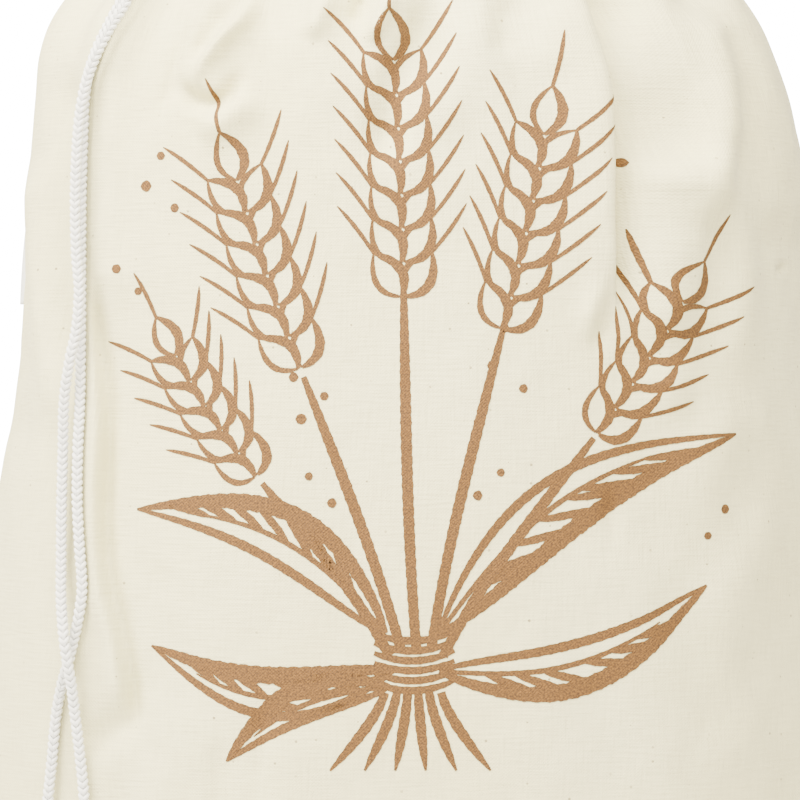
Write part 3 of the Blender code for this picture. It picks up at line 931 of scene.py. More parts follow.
@dataclass(frozen=True)
class InkFinish:
    """Brown printing ink that lies thinly on the threads, which are in millimetres."""

    name: str = "print_ink"
    dark: Triple = (0.050, 0.0195, 0.0022)
    light: Triple = (0.155, 0.067, 0.0085)
    thread: float = 0.43
    thread_grain: float = 0.8
    thin_range: Pair = (0.35, 0.70)
    weave_depth: float = 0.05
    roughness: float = 0.85


@dataclass(frozen=True)
class YarnFinish:
    """White yarn of the cord, or white tape, in millimetres. A run says how many features a metre holds."""

    name: str
    colour: Triple = (0.74, 0.74, 0.74)
    shade: Triple = (0.62, 0.62, 0.64)
    fibre: float = 0.12
    fibre_run: float = 90.0
    lit_range: Pair = (0.30, 0.62)
    depth: float = 0.06
    roughness: float = 0.8
    sheen: float = 0.2


class Shader:
    """A Principled material while its nodes are put together."""

    def __init__(self, name: str) -> None:
        """Starts a new material of this name.

        Args:
            name: The material's name.
        """
        self.material = bpy.data.materials.new(name)
        self.material.use_nodes = True
        self.nodes = self.material.node_tree.nodes
        self.links = self.material.node_tree.links
        self.principled = self.nodes["Principled BSDF"]

    def set(self, **values: float | Triple) -> None:
        """Sets the shader's own sockets, named with underscores for spaces.

        Args:
            values: Each socket's value.
        """
        for key, value in values.items():
            socket = self.principled.inputs[key.replace("_", " ")]
            socket.default_value = (*value, 1.0) if isinstance(value, tuple) else value

    def node(self, kind: str, **settings: object) -> bpy.types.Node:
        """A new node with its settings.

        Args:
            kind: The node's type.
            settings: Its settings by name.

        Returns:
            The node.
        """
        made = self.nodes.new(kind)
        for key, value in settings.items():
            setattr(made, key, value)
        return made

    def feed(self, socket: bpy.types.NodeSocket, value: object) -> None:
        """Gives a socket a link or a plain value.

        Args:
            socket: The socket.
            value: Another node's output, or a plain value.
        """
        if isinstance(value, bpy.types.NodeSocket):
            self.links.new(value, socket)
        else:
            socket.default_value = value

    def math(self, operation: str, first: object, second: object = 0.0) -> bpy.types.NodeSocket:
        """The result of one sum.

        Args:
            operation: The sum's name.
            first: Its first value.
            second: Its second value.

        Returns:
            The result.
        """
        made = self.node("ShaderNodeMath", operation=operation)
        self.feed(made.inputs[0], first)
        self.feed(made.inputs[1], second)
        return made.outputs[0]

    def uv(self) -> tuple[bpy.types.NodeSocket, bpy.types.NodeSocket, bpy.types.NodeSocket]:
        """The piece's own UV in metres: the vector and its two parts."""
        source = self.node("ShaderNodeUVMap", uv_map=FLAT)
        parts = self.node("ShaderNodeSeparateXYZ")
        self.links.new(source.outputs[0], parts.inputs[0])
        return source.outputs[0], parts.outputs[0], parts.outputs[1]

    def noise(self, vector: bpy.types.NodeSocket, scale: Triple, detail: float = 2.0) -> bpy.types.NodeSocket:
        """Noise over a stretched vector.

        Args:
            vector: The coordinates.
            scale: How many features a metre holds along each axis.
            detail: How many finer layers it has.

        Returns:
            The noise value.
        """
        mapping = self.node("ShaderNodeMapping")
        self.links.new(vector, mapping.inputs[0])
        mapping.inputs["Scale"].default_value = scale
        made = self.node("ShaderNodeTexNoise", noise_dimensions="3D")
        self.links.new(mapping.outputs[0], made.inputs["Vector"])
        made.inputs["Scale"].default_value = 1.0
        made.inputs["Detail"].default_value = detail
        return made.outputs[0]

    def range(self, value: object, low: float, high: float, to: Pair = (0.0, 1.0)) -> bpy.types.NodeSocket:
        """A value moved from one range into another, and held inside it.

        Args:
            value: The value.
            low: Where the first range starts.
            high: Where it ends.
            to: Where the second range starts and ends.

        Returns:
            The moved value.
        """
        made = self.node("ShaderNodeMapRange", clamp=True)
        self.feed(made.inputs["Value"], value)
        made.inputs["From Min"].default_value = low
        made.inputs["From Max"].default_value = high
        made.inputs["To Min"].default_value = to[0]
        made.inputs["To Max"].default_value = to[1]
        return made.outputs[0]

    def mix(self, share: object, first: object, second: object) -> bpy.types.NodeSocket:
        """Two colours mixed by a share.

        Args:
            share: The second colour's share.
            first: The first colour.
            second: The second colour.

        Returns:
            The mixed colour.
        """
        made = self.node("ShaderNodeMix", data_type="RGBA")
        self.feed(made.inputs[0], share)
        self.feed(made.inputs[6], (*first, 1.0) if isinstance(first, tuple) else first)
        self.feed(made.inputs[7], (*second, 1.0) if isinstance(second, tuple) else second)
        return made.outputs[2]

    def bump(self, height: bpy.types.NodeSocket, depth: float) -> None:
        """Bumps on the shader, this deep in millimetres where the height goes from 0 to 1.

        Args:
            height: The height, from 0 to 1.
            depth: The depth in millimetres.
        """
        made = self.node("ShaderNodeBump")
        made.inputs["Strength"].default_value = 1.0
        made.inputs["Distance"].default_value = depth * MM
        self.links.new(height, made.inputs["Height"])
        self.links.new(made.outputs[0], self.principled.inputs["Normal"])

    def colour(self, value: bpy.types.NodeSocket) -> None:
        """Links the shader's colour."""
        self.links.new(value, self.principled.inputs["Base Color"])

    def weave(self, across: object, along: object, thread: float) -> bpy.types.NodeSocket:
        """The height of a plain weave, where warp and weft threads pass over each other in turn.

        Args:
            across: The place across the warp, in metres.
            along: The place along it.
            thread: One thread's width in millimetres.

        Returns:
            The height, from -1 to 1.
        """
        first = self.math("SINE", self.math("MULTIPLY", across, math.pi / (thread * MM)))
        second = self.math("SINE", self.math("MULTIPLY", along, math.pi / (thread * MM)))
        return self.math("MULTIPLY", first, second)


def cotton(finish: CottonFinish) -> bpy.types.Material:
    """The cloth's material: weave, uneven threads, painted shade in the gaps between threads, warmer patches
    and sparse seed flecks.

    Args:
        finish: The cloth's finish.

    Returns:
        The material.
    """
    shader = Shader(finish.name)
    vector, across, along = shader.uv()
    grain = finish.thread_grain * (1.0 / (finish.thread * MM))
    warp = shader.noise(vector, (grain, finish.warp_run, 0.0), 1.0)
    weft = shader.noise(vector, (finish.weft_run, grain, 0.0), 1.0)
    threads = shader.math("ADD", warp, weft)
    patches = shader.noise(vector, finish.patches, 3.0)
    patches = shader.math("ADD", patches, shader.math("MULTIPLY", threads, finish.patch_threads))
    warmth = shader.range(patches, *finish.patch_range, (0.0, finish.warmest))
    tinted = shader.mix(warmth, finish.colour, finish.warm)
    weave = shader.weave(across, along, finish.thread)
    # Painted shade between the threads: the gap colour is mixed in where the uneven threads run thin and
    # where the weave dips.
    uneven = shader.math("MULTIPLY", threads, finish.unevenness)
    uneven = shader.math("ADD", shader.math("MULTIPLY", weave, finish.gap_shade_weave), uneven)
    gap_shade = shader.range(uneven, *finish.gap_shade_range, (finish.deepest_gap_shade, 0.0))
    weave_with_gap_shade = shader.mix(gap_shade, tinted, finish.gap)
    shader.colour(shader.mix(flecks(shader, vector, finish), weave_with_gap_shade, finish.fleck))
    fine = shader.math(
        "ADD",
        shader.math("MULTIPLY", weave, finish.weave_depth),
        shader.math("MULTIPLY", threads, finish.thread_depth),
    )
    crinkles = shader.noise(vector, finish.crinkles, 3.0)
    height = shader.math("ADD", fine, shader.math("MULTIPLY", crinkles, finish.crinkle_depth))
    shader.bump(height, 1.0)
    shader.set(Roughness=finish.roughness, Sheen_Weight=finish.sheen)
    return shader.material


def flecks(shader: Shader, vector: bpy.types.NodeSocket, finish: CottonFinish) -> bpy.types.NodeSocket:
    """Where the small dark bits of seed are that stay in unbleached cotton.

    Args:
        shader: The cloth's shader.
        vector: The cloth's own flat coordinates.
        finish: The cloth's finish.

    Returns:
        How strong a fleck is at each place, from 0 to 1.
    """
    seeds = shader.node("ShaderNodeTexVoronoi", feature="F1", voronoi_dimensions="2D")
    shader.links.new(vector, seeds.inputs["Vector"])
    seeds.inputs["Scale"].default_value = 1.0 / (finish.seed_spacing * MM)
    chosen = shader.node("ShaderNodeSeparateColor")
    shader.links.new(seeds.outputs["Color"], chosen.inputs[0])
    sizes = (finish.seed_smallest, finish.seed_size / finish.seed_spacing)
    size = shader.range(chosen.outputs[0], finish.seed_rarity, 1.0, sizes)
    near = shader.math("SUBTRACT", size, seeds.outputs["Distance"])
    strength = shader.range(chosen.outputs[1], 0.0, 1.0, finish.seed_strength)
    return shader.math("MULTIPLY", shader.range(near, 0.0, finish.seed_edge), strength)


def ink(finish: InkFinish) -> bpy.types.Material:
    """The print's material: ink that is thinner on some threads than on others.

    Args:
        finish: The ink's finish.

    Returns:
        The material.
    """
    shader = Shader(finish.name)
    vector, across, along = shader.uv()
    scale = finish.thread_grain * (1.0 / (finish.thread * MM))
    grain = shader.noise(vector, (scale, scale, 0.0))
    shader.colour(shader.mix(shader.range(grain, *finish.thin_range), finish.dark, finish.light))
    weave = shader.weave(across, along, finish.thread)
    shader.bump(shader.math("MULTIPLY", weave, finish.weave_depth), 1.0)
    shader.set(Roughness=finish.roughness)
    return shader.material


def yarn(finish: YarnFinish) -> bpy.types.Material:
    """White yarn, with fine fibres that run along each strand.

    Args:
        finish: The yarn's finish.

    Returns:
        The material.
    """
    shader = Shader(finish.name)
    vector, _, _ = shader.uv()
    fibres = shader.noise(vector, (1.0 / (finish.fibre * MM), finish.fibre_run, 0.0))
    shader.colour(shader.mix(shader.range(fibres, *finish.lit_range), finish.shade, finish.colour))
    shader.bump(fibres, finish.depth)
    shader.set(Roughness=finish.roughness, Sheen_Weight=finish.sheen)
    return shader.material


def add_object(name: str, mesh: bpy.types.Mesh, finish: bpy.types.Material) -> bpy.types.Object:
    """Adds a piece that rides on the bag.

    Args:
        name: The piece's name.
        mesh: Its mesh, in the frame's metres.
        finish: Its material.

    Returns:
        The new object.
    """
    made = bpy.data.objects.new(name, mesh)
    bpy.context.scene.collection.objects.link(made)
    mesh.materials.append(finish)
    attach(made, BODY)
    return made


def new_work() -> bmesh.types.BMesh:
    """An empty mesh to work in, with a UV layer for the cloth's own flat coordinates."""
    work = bmesh.new()
    work.loops.layers.uv.new(FLAT)
    return work


def lay_grid(
    work: bmesh.types.BMesh, points: np.ndarray, flat: np.ndarray
) -> dict[bmesh.types.BMVert, Place]:
    """Adds a grid of faces and lays it over given points.

    Args:
        work: The mesh in work.
        points: Rows by columns by 3, in metres.
        flat: Rows by columns by 2, the flat coordinates of the same points in metres.

    Returns:
        The row and column of each new vertex.
    """
    layer = work.loops.layers.uv[FLAT]
    rows, columns = points.shape[0] - 1, points.shape[1] - 1
    made = bmesh.ops.create_grid(work, x_segments=columns, y_segments=rows, size=0.5)["verts"]
    places = {v: (round((v.co.y + 0.5) * rows), round((v.co.x + 0.5) * columns)) for v in made}
    for face in {face for vertex in made for face in vertex.link_faces}:
        for loop in face.loops:
            loop[layer].uv = flat[places[loop.vert]]
    for vertex, place in places.items():
        vertex.co = points[place]
    return places


def finished(name: str, work: bmesh.types.BMesh) -> bpy.types.Mesh:
    """The finished mesh of what is in work, with smooth shading.

    Args:
        name: The mesh's name.
        work: The mesh in work, which is freed.

    Returns:
        The mesh.
    """
    mesh = bpy.data.meshes.new(name)
    work.to_mesh(mesh)
    work.free()
    mesh.shade_smooth()
    return mesh


class ClothPiece:
    """The bag's cloth, which is closed at the foot and turned in at the mouth."""

    MERGE = 0.005 * MM
    FOOT = 20.0 * MM

    def __init__(self, surface: ClothSurface, sizes: BagSizes) -> None:
        """Keeps the cloth's surface and its sizes."""
        self.surface = surface
        self.sizes = sizes

    def build(self, finish: bpy.types.Material) -> bpy.types.Object:
        """Args:
            finish: The cloth's material.

        Returns:
            The new object.
        """
        across = self.surface.shares * self.sizes.cloth_width * MM
        flat = np.stack(np.broadcast_arrays(across[None, :], self.surface.lengths[:, None]), axis=2)
        work = new_work()
        lay_grid(work, self.surface.points, flat)
        bmesh.ops.remove_doubles(work, verts=[v for v in work.verts if v.is_boundary], dist=self.MERGE)
        middle = [edge for edge in work.edges if edge.is_boundary and edge.verts[0].co.z < self.FOOT]
        bmesh.ops.edgeloop_fill(work, edges=middle)
        cloth = add_object("cloth", finished("cloth", work), finish)
        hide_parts("bag_cloth")
        return cloth


def through(route: Sequence[Triple], step: float, parts: int = 24) -> np.ndarray:
    """Points a step apart on a smooth curve through a route's own points.

    Args:
        route: The route's points, in millimetres.
        step: How far apart the wanted points are, in millimetres.
        parts: How many parts each stretch of the curve is first cut into.

    Returns:
        The points, one row each, in metres.
    """
    points = np.asarray(route, float)
    ends = np.concatenate([[2 * points[0] - points[1]], points, [2 * points[-1] - points[-2]]])
    dense = []
    for before, first, second, after in zip(ends, ends[1:], ends[2:], ends[3:]):
        length = np.linalg.norm(second - first)
        enter = (second - before) * (length / max(np.linalg.norm(second - before), 1.0))
        leave = (after - first) * (length / max(np.linalg.norm(after - first), 1.0))
        for t in np.arange(parts) / parts:
            dense.append(
                first * (2 * t**3 - 3 * t**2 + 1)
                + enter * (t**3 - 2 * t**2 + t)
                + second * (3 * t**2 - 2 * t**3)
                + leave * (t**3 - t**2)
            )
    dense.append(points[-1])
    dense = np.array(dense)
    run = np.concatenate([[0.0], np.cumsum(np.linalg.norm(np.diff(dense, axis=0), axis=1))])
    wanted = np.linspace(0.0, run[-1], max(round(run[-1] / step), 2) + 1)
    return np.stack([np.interp(wanted, run, dense[:, axis]) for axis in range(3)], axis=1) * MM


def frames_along(line: np.ndarray, facing: Triple, held: bool) -> ArrayPair:
    """Two directions across a line at each of its points.

    Args:
        line: The line's points.
        facing: Where the first direction points, as near as it can.
        held: Whether it keeps facing there; if not, it turns as little as it can after the start.

    Returns:
        The first directions and the second directions.
    """
    along = np.gradient(line, axis=0)
    along /= np.linalg.norm(along, axis=1, keepdims=True)
    first = np.empty_like(line)
    current = np.asarray(facing, float)
    for index, way in enumerate(along):
        current = np.asarray(facing, float) if held else current
        current = current - way * (current @ way)
        current /= np.linalg.norm(current)
        first[index] = current
    return first, np.cross(along, first)


@dataclass(frozen=True)
class BraidSizes:
    """A round braid's sizes, in millimetres."""

    diameter: float = 3.5
    carriers: int = 4
    lay: float = 7.3
    middle_radius: float = 0.80
    swing: float = 0.38
    strand_width: float = 1.22
    strand_height: float = 0.96
    sides: int = 6
    steps: int = 15
    core_radius: float = 0.6
    squareness: float = 1.9


class Braid:
    """A round braid of eight strands, where four run one way and four the other, two over and two under."""

    def __init__(self, sizes: BraidSizes) -> None:
        """Keeps the braid's sizes."""
        self.sizes = sizes

    def strand(self, line: np.ndarray, frames: ArrayPair, way: int, index: int) -> ArrayPair:
        """One strand of the braid.

        Args:
            line: The cord's middle line, in metres.
            frames: Two directions across it at each point.
            way: 1 or -1, for the way that the strand runs round.
            index: Which of the strands that run that way it is.

        Returns:
            The strand's middle line, and the way out of the cord at each of its points.
        """
        sizes = self.sizes
        run = np.concatenate([[0.0], np.cumsum(np.linalg.norm(np.diff(line, axis=0), axis=1))]) / MM
        first, second = frames
        angle = 2.0 * math.pi * (way * run / sizes.lay + index / sizes.carriers)
        over = np.clip(sizes.squareness * np.sin(2.0 * angle), -1.0, 1.0)
        radius = (sizes.middle_radius - way * sizes.swing * over) * MM
        out = first * np.cos(angle)[:, None] + second * np.sin(angle)[:, None]
        return line + out * radius[:, None], out

    def build(self, name: str, line: np.ndarray, finish: bpy.types.Material, held: bool) -> bpy.types.Object:
        """Builds the braid along a line.

        Args:
            name: The piece's name.
            line: The cord's middle line, in metres.
            finish: Its material.
            held: Whether the same side of it faces the front all the way.

        Returns:
            The new object.
        """
        sizes = self.sizes
        tall, wide = 0.5 * sizes.strand_height, 0.5 * sizes.strand_width
        frames = frames_along(line, (0.0, -1.0, 0.0), held)
        tubes = [tube_grid(line, frames[0], (sizes.core_radius, sizes.core_radius), sizes.sides)]
        for way in (1, -1):
            for index in range(sizes.carriers):
                middle, out = self.strand(line, frames, way, index)
                tubes.append(tube_grid(middle, out, (tall, wide), sizes.sides))
        return add_object(name, join_tubes(name, tubes), finish)


def tube_grid(line: np.ndarray, out: np.ndarray, half_sizes: Pair, sides: int) -> ArrayPair:
    """A tube's grid of points.

    Args:
        line: The tube's middle line, in metres.
        out: The direction in which it is tall, at each point.
        half_sizes: Half its height and half its width, in millimetres.
        sides: How many sides it has.

    Returns:
        The points and their flat coordinates.
    """
    along = np.gradient(line, axis=0)
    along /= np.linalg.norm(along, axis=1, keepdims=True)
    up = out - along * np.sum(out * along, axis=1, keepdims=True)
    up /= np.linalg.norm(up, axis=1, keepdims=True)
    side = np.cross(along, up)
    tall, wide = half_sizes
    angle = np.linspace(0.0, 2.0 * math.pi, sides + 1)
    points = (
        line[:, None, :]
        + up[:, None, :] * (tall * MM * np.cos(angle))[None, :, None]
        + side[:, None, :] * (wide * MM * np.sin(angle))[None, :, None]
    )
    run = np.concatenate([[0.0], np.cumsum(np.linalg.norm(np.diff(line, axis=0), axis=1))])
    flat = np.stack(np.broadcast_arrays((angle * wide * MM)[None, :], run[:, None]), axis=2)
    return points, flat


def join_tubes(name: str, tubes: Sequence[ArrayPair], merge: float = 0.001 * MM) -> bpy.types.Mesh:
    """One mesh of several capped tubes.

    Args:
        name: The mesh's name.
        tubes: Each tube's points and flat coordinates.
        merge: How near points of a seam have to be to become one, in metres.

    Returns:
        The mesh with its UV map.
    """
    work = new_work()
    for points, flat in tubes:
        places = lay_grid(work, points, flat)
        columns = points.shape[1] - 1
        seam = [vertex for vertex, place in places.items() if place[1] in (0, columns)]
        bmesh.ops.remove_doubles(work, verts=seam, dist=merge)
        kept = [vertex for vertex in places if vertex.is_valid]
        ends = {edge for vertex in kept for edge in vertex.link_edges if edge.is_boundary}
        bmesh.ops.holes_fill(work, edges=list(ends), sides=columns + 1)
    bmesh.ops.recalc_face_normals(work, faces=work.faces)
    return finished(name, work)


FRONT_ROUTE: tuple[Triple, ...] = (
    (-17.45, -2.2, 325.8), (-25.9, -2.5, 323.55), (-32.0, -6.8, 322.6), (-38.4, -12.0, 318.6),
    (-46.0, -18.8, 309.8), (-54.0, -26.2, 300.2), (-62.0, -33.6, 291.0), (-69.2, -41.2, 281.2),
    (-73.0, -45.6, 273.6), (-75.5, -49.2, 264.5), (-79.5, -50.8, 257.7), (-83.1, -51.2, 250.9),
    (-85.9, -50.4, 244.0), (-87.5, -50.4, 237.5), (-88.5, -50.6, 230.2), (-89.1, -51.0, 220.0),
    (-89.3, -51.4, 209.6), (-88.9, -52.4, 195.8), (-88.1, -53.6, 186.4), (-88.8, -54.5, 175.7),
    (-90.3, -55.4, 168.5), (-92.0, -54.6, 157.0), (-92.4, -53.8, 143.6), (-92.6, -55.4, 129.7),
    (-92.6, -57.0, 114.3), (-92.4, -60.0, 103.7), (-91.4, -63.6, 94.2), (-90.4, -64.0, 87.4),
    (-89.4, -62.8, 81.0), (-88.6, -61.8, 73.8), (-86.9, -62.4, 60.1), (-86.1, -62.8, 50.8),
    (-86.4, -64.2, 40.0), (-86.4, -64.2, 28.0),
)
REAR_ROUTE: tuple[Triple, ...] = (
    (-17.4, 2.2, 325.8), (-25.6, 1.8, 322.3), (-31.6, -1.8, 319.4), (-38.4, -7.2, 316.6),
    (-46.0, -14.0, 309.8), (-54.0, -21.5, 299.8), (-62.0, -29.0, 290.8), (-69.5, -36.5, 281.4),
    (-74.2, -41.6, 273.0), (-77.2, -45.2, 264.8), (-80.7, -46.6, 258.0), (-83.9, -46.8, 251.2),
    (-86.2, -46.4, 244.3), (-87.2, -46.4, 237.8), (-87.5, -46.6, 230.4), (-87.8, -47.0, 220.2),
    (-88.0, -47.4, 209.7), (-88.0, -48.4, 196.0), (-87.9, -50.6, 175.8), (-87.9, -53.0, 157.0),
    (-88.3, -55.4, 143.6), (-88.3, -57.2, 129.8), (-87.6, -58.8, 118.4), (-86.8, -60.3, 107.0),
    (-87.6, -60.8, 99.8), (-88.9, -60.0, 93.8), (-90.4, -59.5, 87.8), (-92.0, -58.6, 82.4),
    (-93.8, -57.6, 73.6), (-95.2, -57.1, 59.6), (-96.2, -57.0, 50.0), (-97.0, -57.2, 40.0),
    (-97.0, -57.2, 28.0),
)


@dataclass(frozen=True)
class NeckCord:
    """The stretch of cord inside the hem, in millimetres."""

    middle: float = 8.0
    radius: float = 15.6
    height: float = 329.4
    points: int = 28
    turns_out_at: float = 34.0
    lead_front: tuple[Triple, ...] = ((-17.0, -2.2, 325.95), (-8.6, -2.4, 328.2))
    lead_rear: tuple[Triple, ...] = ((-17.0, 2.2, 326.0), (-8.6, 2.4, 329.6))

    def route(self) -> list[Triple]:
        """The way round: in at the side seam, past the front, and out beside itself."""
        start = math.pi + math.radians(self.turns_out_at)
        sweep = 2.0 * (math.pi - math.radians(self.turns_out_at))
        ring = []
        for index in range(self.points + 1):
            angle = start + sweep * index / self.points
            x = self.middle + self.radius * math.cos(angle)
            ring.append((x, self.radius * math.sin(angle), self.height))
        return [*self.lead_front, *ring, *reversed(self.lead_rear)]


KNOT_ROUTE: tuple[Triple, ...] = (
    (0.0, 0.0, 0.4), (0.3, -0.2, -1.6), (1.9, -1.4, -3.6), (2.7, 0.6, -5.2), (1.2, 2.7, -6.0),
    (-1.4, 2.5, -5.9), (-2.9, 0.6, -5.0), (-2.5, -1.7, -3.9), (-0.4, -2.9, -4.4), (1.1, -1.9, -6.6),
    (0.9, -0.2, -8.4), (0.2, 0.1, -10.4), (0.0, 0.0, -13.0), (0.0, 0.0, -17.6),
)


class CordSet:
    """The drawcord: its stretch in the hem, its two free strands, and their knots."""

    STRANDS = (("front", FRONT_ROUTE), ("rear", REAR_ROUTE))

    def __init__(self, braid: Braid) -> None:
        """Keeps the braid that every stretch is made of."""
        self.braid = braid

    def build(self, finish: bpy.types.Material) -> list[bpy.types.Object]:
        """Builds every stretch of the cord.

        Args:
            finish: The cord's material.

        Returns:
            The new objects.
        """
        sizes = self.braid.sizes
        step = sizes.lay / sizes.steps
        made = []
        neck_line = through(NeckCord().route(), step)
        neck = self.braid.build("cord_neck", neck_line, finish, held=False)
        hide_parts("drawcord_neck")
        made.append(neck)
        for side, route in self.STRANDS:
            line = through(route, step)
            strand = self.braid.build("cord_" + side, line, finish, held=True)
            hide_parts("drawcord_" + side)
            knot = self.knot("cord_knot_" + side, route[-1], finish)
            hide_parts("knot_" + side)
            made += [strand, knot]
        return made

    def knot(self, name: str, end: Triple, finish: bpy.types.Material) -> bpy.types.Object:
        """An overhand knot that goes on from a strand's end.

        Args:
            name: The knot's name.
            end: Where the strand ends, in millimetres.
            finish: The cord's material.

        Returns:
            The new object.
        """
        sizes = self.braid.sizes
        route = [tuple(np.add(end, point)) for point in KNOT_ROUTE]
        return self.braid.build(name, through(route, sizes.lay / sizes.steps), finish, held=False)

    @staticmethod
    def length(line: np.ndarray) -> float:
        """A line's length in metres."""
        return float(np.linalg.norm(np.diff(line, axis=0), axis=1).sum())


@dataclass(frozen=True)
class LabelSizes:
    """The blank tab in the left side seam, in millimetres."""

    foot: float = 184.0
    height: float = 24.0
    reach_back: float = 12.0
    reach_out: float = 1.7
    layer: float = 0.42
    seam_gap: float = 0.7
    wave: float = 0.35
    half_gap: float = 0.62
    loop_swell: float = 0.5
    loop_foot: float = 0.80
    loop_full: float = 0.95
    columns: int = 24
    rows: int = 24


class Label:
    """A short piece of white tape, folded double and caught in the seam by its cut ends."""

    def __init__(self, surface: ClothSurface, sizes: LabelSizes) -> None:
        """Keeps the cloth that it is caught in, and its sizes."""
        self.surface = surface
        self.sizes = sizes

    def build(self, finish: bpy.types.Material) -> bpy.types.Object:
        """Args:
            finish: The tape's material.

        Returns:
            The new object.
        """
        sizes = self.sizes
        heights = np.linspace(sizes.foot, sizes.foot + sizes.height, sizes.rows + 1)
        seam, _ = self.surface.sample(np.zeros(len(heights)), heights)
        rows = [self.row(index, seam[index, 0] / MM, height) for index, height in enumerate(heights)]
        points = np.stack(rows) * MM
        along = np.concatenate([[0.0], np.cumsum(np.linalg.norm(np.diff(points[0], axis=0), axis=1))])
        flat = np.stack(np.broadcast_arrays(along[None, :], heights[:, None] * MM), axis=2)
        work = new_work()
        lay_grid(work, points, flat)
        label = add_object("tape", finished("tape", work), finish)
        wall = label.modifiers.new("thickness", "SOLIDIFY")
        wall.thickness = sizes.layer * MM
        wall.offset = 0.0
        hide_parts("side_label")
        return label

    def row(self, index: int, seam: float, height: float) -> np.ndarray:
        """One row of the tab, back from the seam in one layer and forward again in the other.

        Args:
            index: Which row it is.
            seam: The seam's x at this height, in millimetres.
            height: The row's height in millimetres.

        Returns:
            The row's points in millimetres.
        """
        sizes = self.sizes
        there = np.linspace(0.0, 1.0, sizes.columns + 1)
        back = np.linspace(1.0, 0.0, sizes.columns + 1)
        reach = np.concatenate([there, back])
        side = np.concatenate([np.full(sizes.columns + 1, 1.0), np.full(sizes.columns + 1, -1.0)])
        wave = sizes.wave * math.sin(math.pi * index / sizes.rows)
        x = seam - sizes.seam_gap - sizes.reach_out * np.sin(0.5 * math.pi * reach) - wave * reach
        slope = -0.5 * math.pi * sizes.reach_out * np.cos(0.5 * math.pi * reach) / sizes.reach_back
        norm = np.hypot(slope, 1.0)
        swell = sizes.loop_swell * smoothstep(sizes.loop_foot, sizes.loop_full, reach)
        loop = sizes.layer * (sizes.half_gap + swell * (1.0 - smoothstep(sizes.loop_full, 1.0, reach)))
        y = sizes.reach_back * reach + side * loop * slope / norm
        return np.stack([x - side * loop / norm, y, np.full(len(reach), height)], axis=1)


class Leaning(Enum):
    """Which way a grain leans off its stem. The one at an ear's tip stands upright."""

    LEFT = -1
    UPRIGHT = 0
    RIGHT = 1


class Pen(Enum):
    """A stroke's greatest width in millimetres, and its share of that at its start and at its end."""

    STEM = (3.0, 0.9, 0.5)
    GRAIN_LIT = (1.7, 0.35, 0.25)
    GRAIN_SHADED = (2.7, 0.35, 0.25)
    AWN = (1.2, 0.8, 0.2)
    LEAF_SHADED = (4.6, 0.3, 0.12)
    LEAF_LIT = (2.6, 0.4, 0.2)
    MIDRIB = (1.5, 0.8, 0.2)
    VEIN = (2.2, 0.4, 0.3)
    BAND = (2.1, 0.6, 0.5)
    STALK = (2.8, 0.8, 0.2)


@dataclass(frozen=True)
class Stroke:
    """One brush stroke of the print: its points in x and height, and its width at each, in millimetres."""

    points: np.ndarray
    widths: np.ndarray


@dataclass(frozen=True)
class Ear:
    """An ear: where its stem starts, its tip, its bend to the side, its pairs of grains and their length."""

    foot: Pair
    head: Pair
    bow: float
    grains: int
    size: float


@dataclass(frozen=True)
class Leaf:
    """A long leaf: its root, its tip, its bend to the side, its half width and its number of veins."""

    root: Pair
    tip: Pair
    bow: float
    belly: float
    veins: int


@dataclass(frozen=True)
class Dot:
    """A round dot: its x, its height and its width."""

    x: float
    z: float
    size: float


EARS: tuple[Ear, ...] = (
    Ear((2.0, 92.0), (-4.0, 246.0), 6.0, 7, 13.6),
    Ear((-2.0, 92.0), (-45.0, 214.0), -8.0, 6, 13.2),
    Ear((6.0, 92.0), (35.0, 226.0), 9.0, 6, 13.2),
    Ear((-5.0, 90.0), (-61.0, 168.0), -14.0, 5, 11.6),
    Ear((9.0, 90.0), (71.0, 182.0), 14.0, 5, 12.4),
)

LEAVES: tuple[Leaf, ...] = (
    Leaf((-6.0, 96.0), (-72.0, 128.0), 10.0, 7.5, 7),
    Leaf((8.0, 96.0), (86.0, 148.0), -11.0, 8.0, 8),
    Leaf((-4.0, 86.0), (-68.0, 92.0), -10.0, 6.0, 6),
    Leaf((8.0, 86.0), (78.0, 108.0), 9.0, 6.5, 6),
    Leaf((-5.0, 82.0), (-48.0, 62.0), 5.0, 4.6, 4),
)

DOTS: tuple[Dot, ...] = (
    Dot(-28.0, 152.0, 3.0), Dot(-22.0, 158.0, 2.4), Dot(-30.0, 163.0, 2.6), Dot(22.0, 166.0, 3.0),
    Dot(30.0, 160.0, 2.4), Dot(25.0, 176.0, 2.6), Dot(56.0, 226.0, 3.2), Dot(64.0, 220.0, 2.4),
    Dot(60.0, 236.0, 2.6), Dot(-70.0, 214.0, 3.0), Dot(-62.0, 208.0, 2.4), Dot(-66.0, 222.0, 2.4),
    Dot(-78.0, 192.0, 2.6), Dot(-72.0, 186.0, 2.2), Dot(18.0, 132.0, 2.6), Dot(24.0, 138.0, 2.2),
    Dot(-20.0, 130.0, 2.6), Dot(-26.0, 137.0, 2.2), Dot(84.0, 128.0, 2.6), Dot(79.0, 121.0, 2.2),
)


@dataclass(frozen=True)
class BunchSizes:
    """The band round the stems and the stems' cut ends under it, in millimetres."""

    middle: float = 1.5
    turns: int = 6
    top: float = 96.0
    pitch: float = 2.6
    half_width: float = 10.5
    sag: float = 2.0
    slant: float = 0.6
    stalks: tuple[float, ...] = (-22.0, -13.0, -5.0, 3.0, 11.0, 20.0)
    stalk_heights: Triple = (80.5, 72.0, 60.0)
    stalk_spreads: Triple = (0.35, 0.55, 1.0)


@dataclass(frozen=True)
class GrainShape:
    """A grain's shape against its length. It leans in radians, and pitch is the room that a pair takes."""

    pitch: float = 0.66
    lean: float = 0.55
    foot: float = 0.08
    tip: float = 1.08
    bulge: float = 0.27
    bulge_drop: float = 0.06
    awn: float = 1.15
    awn_lean: float = 0.10
    awn_bow: float = 0.03


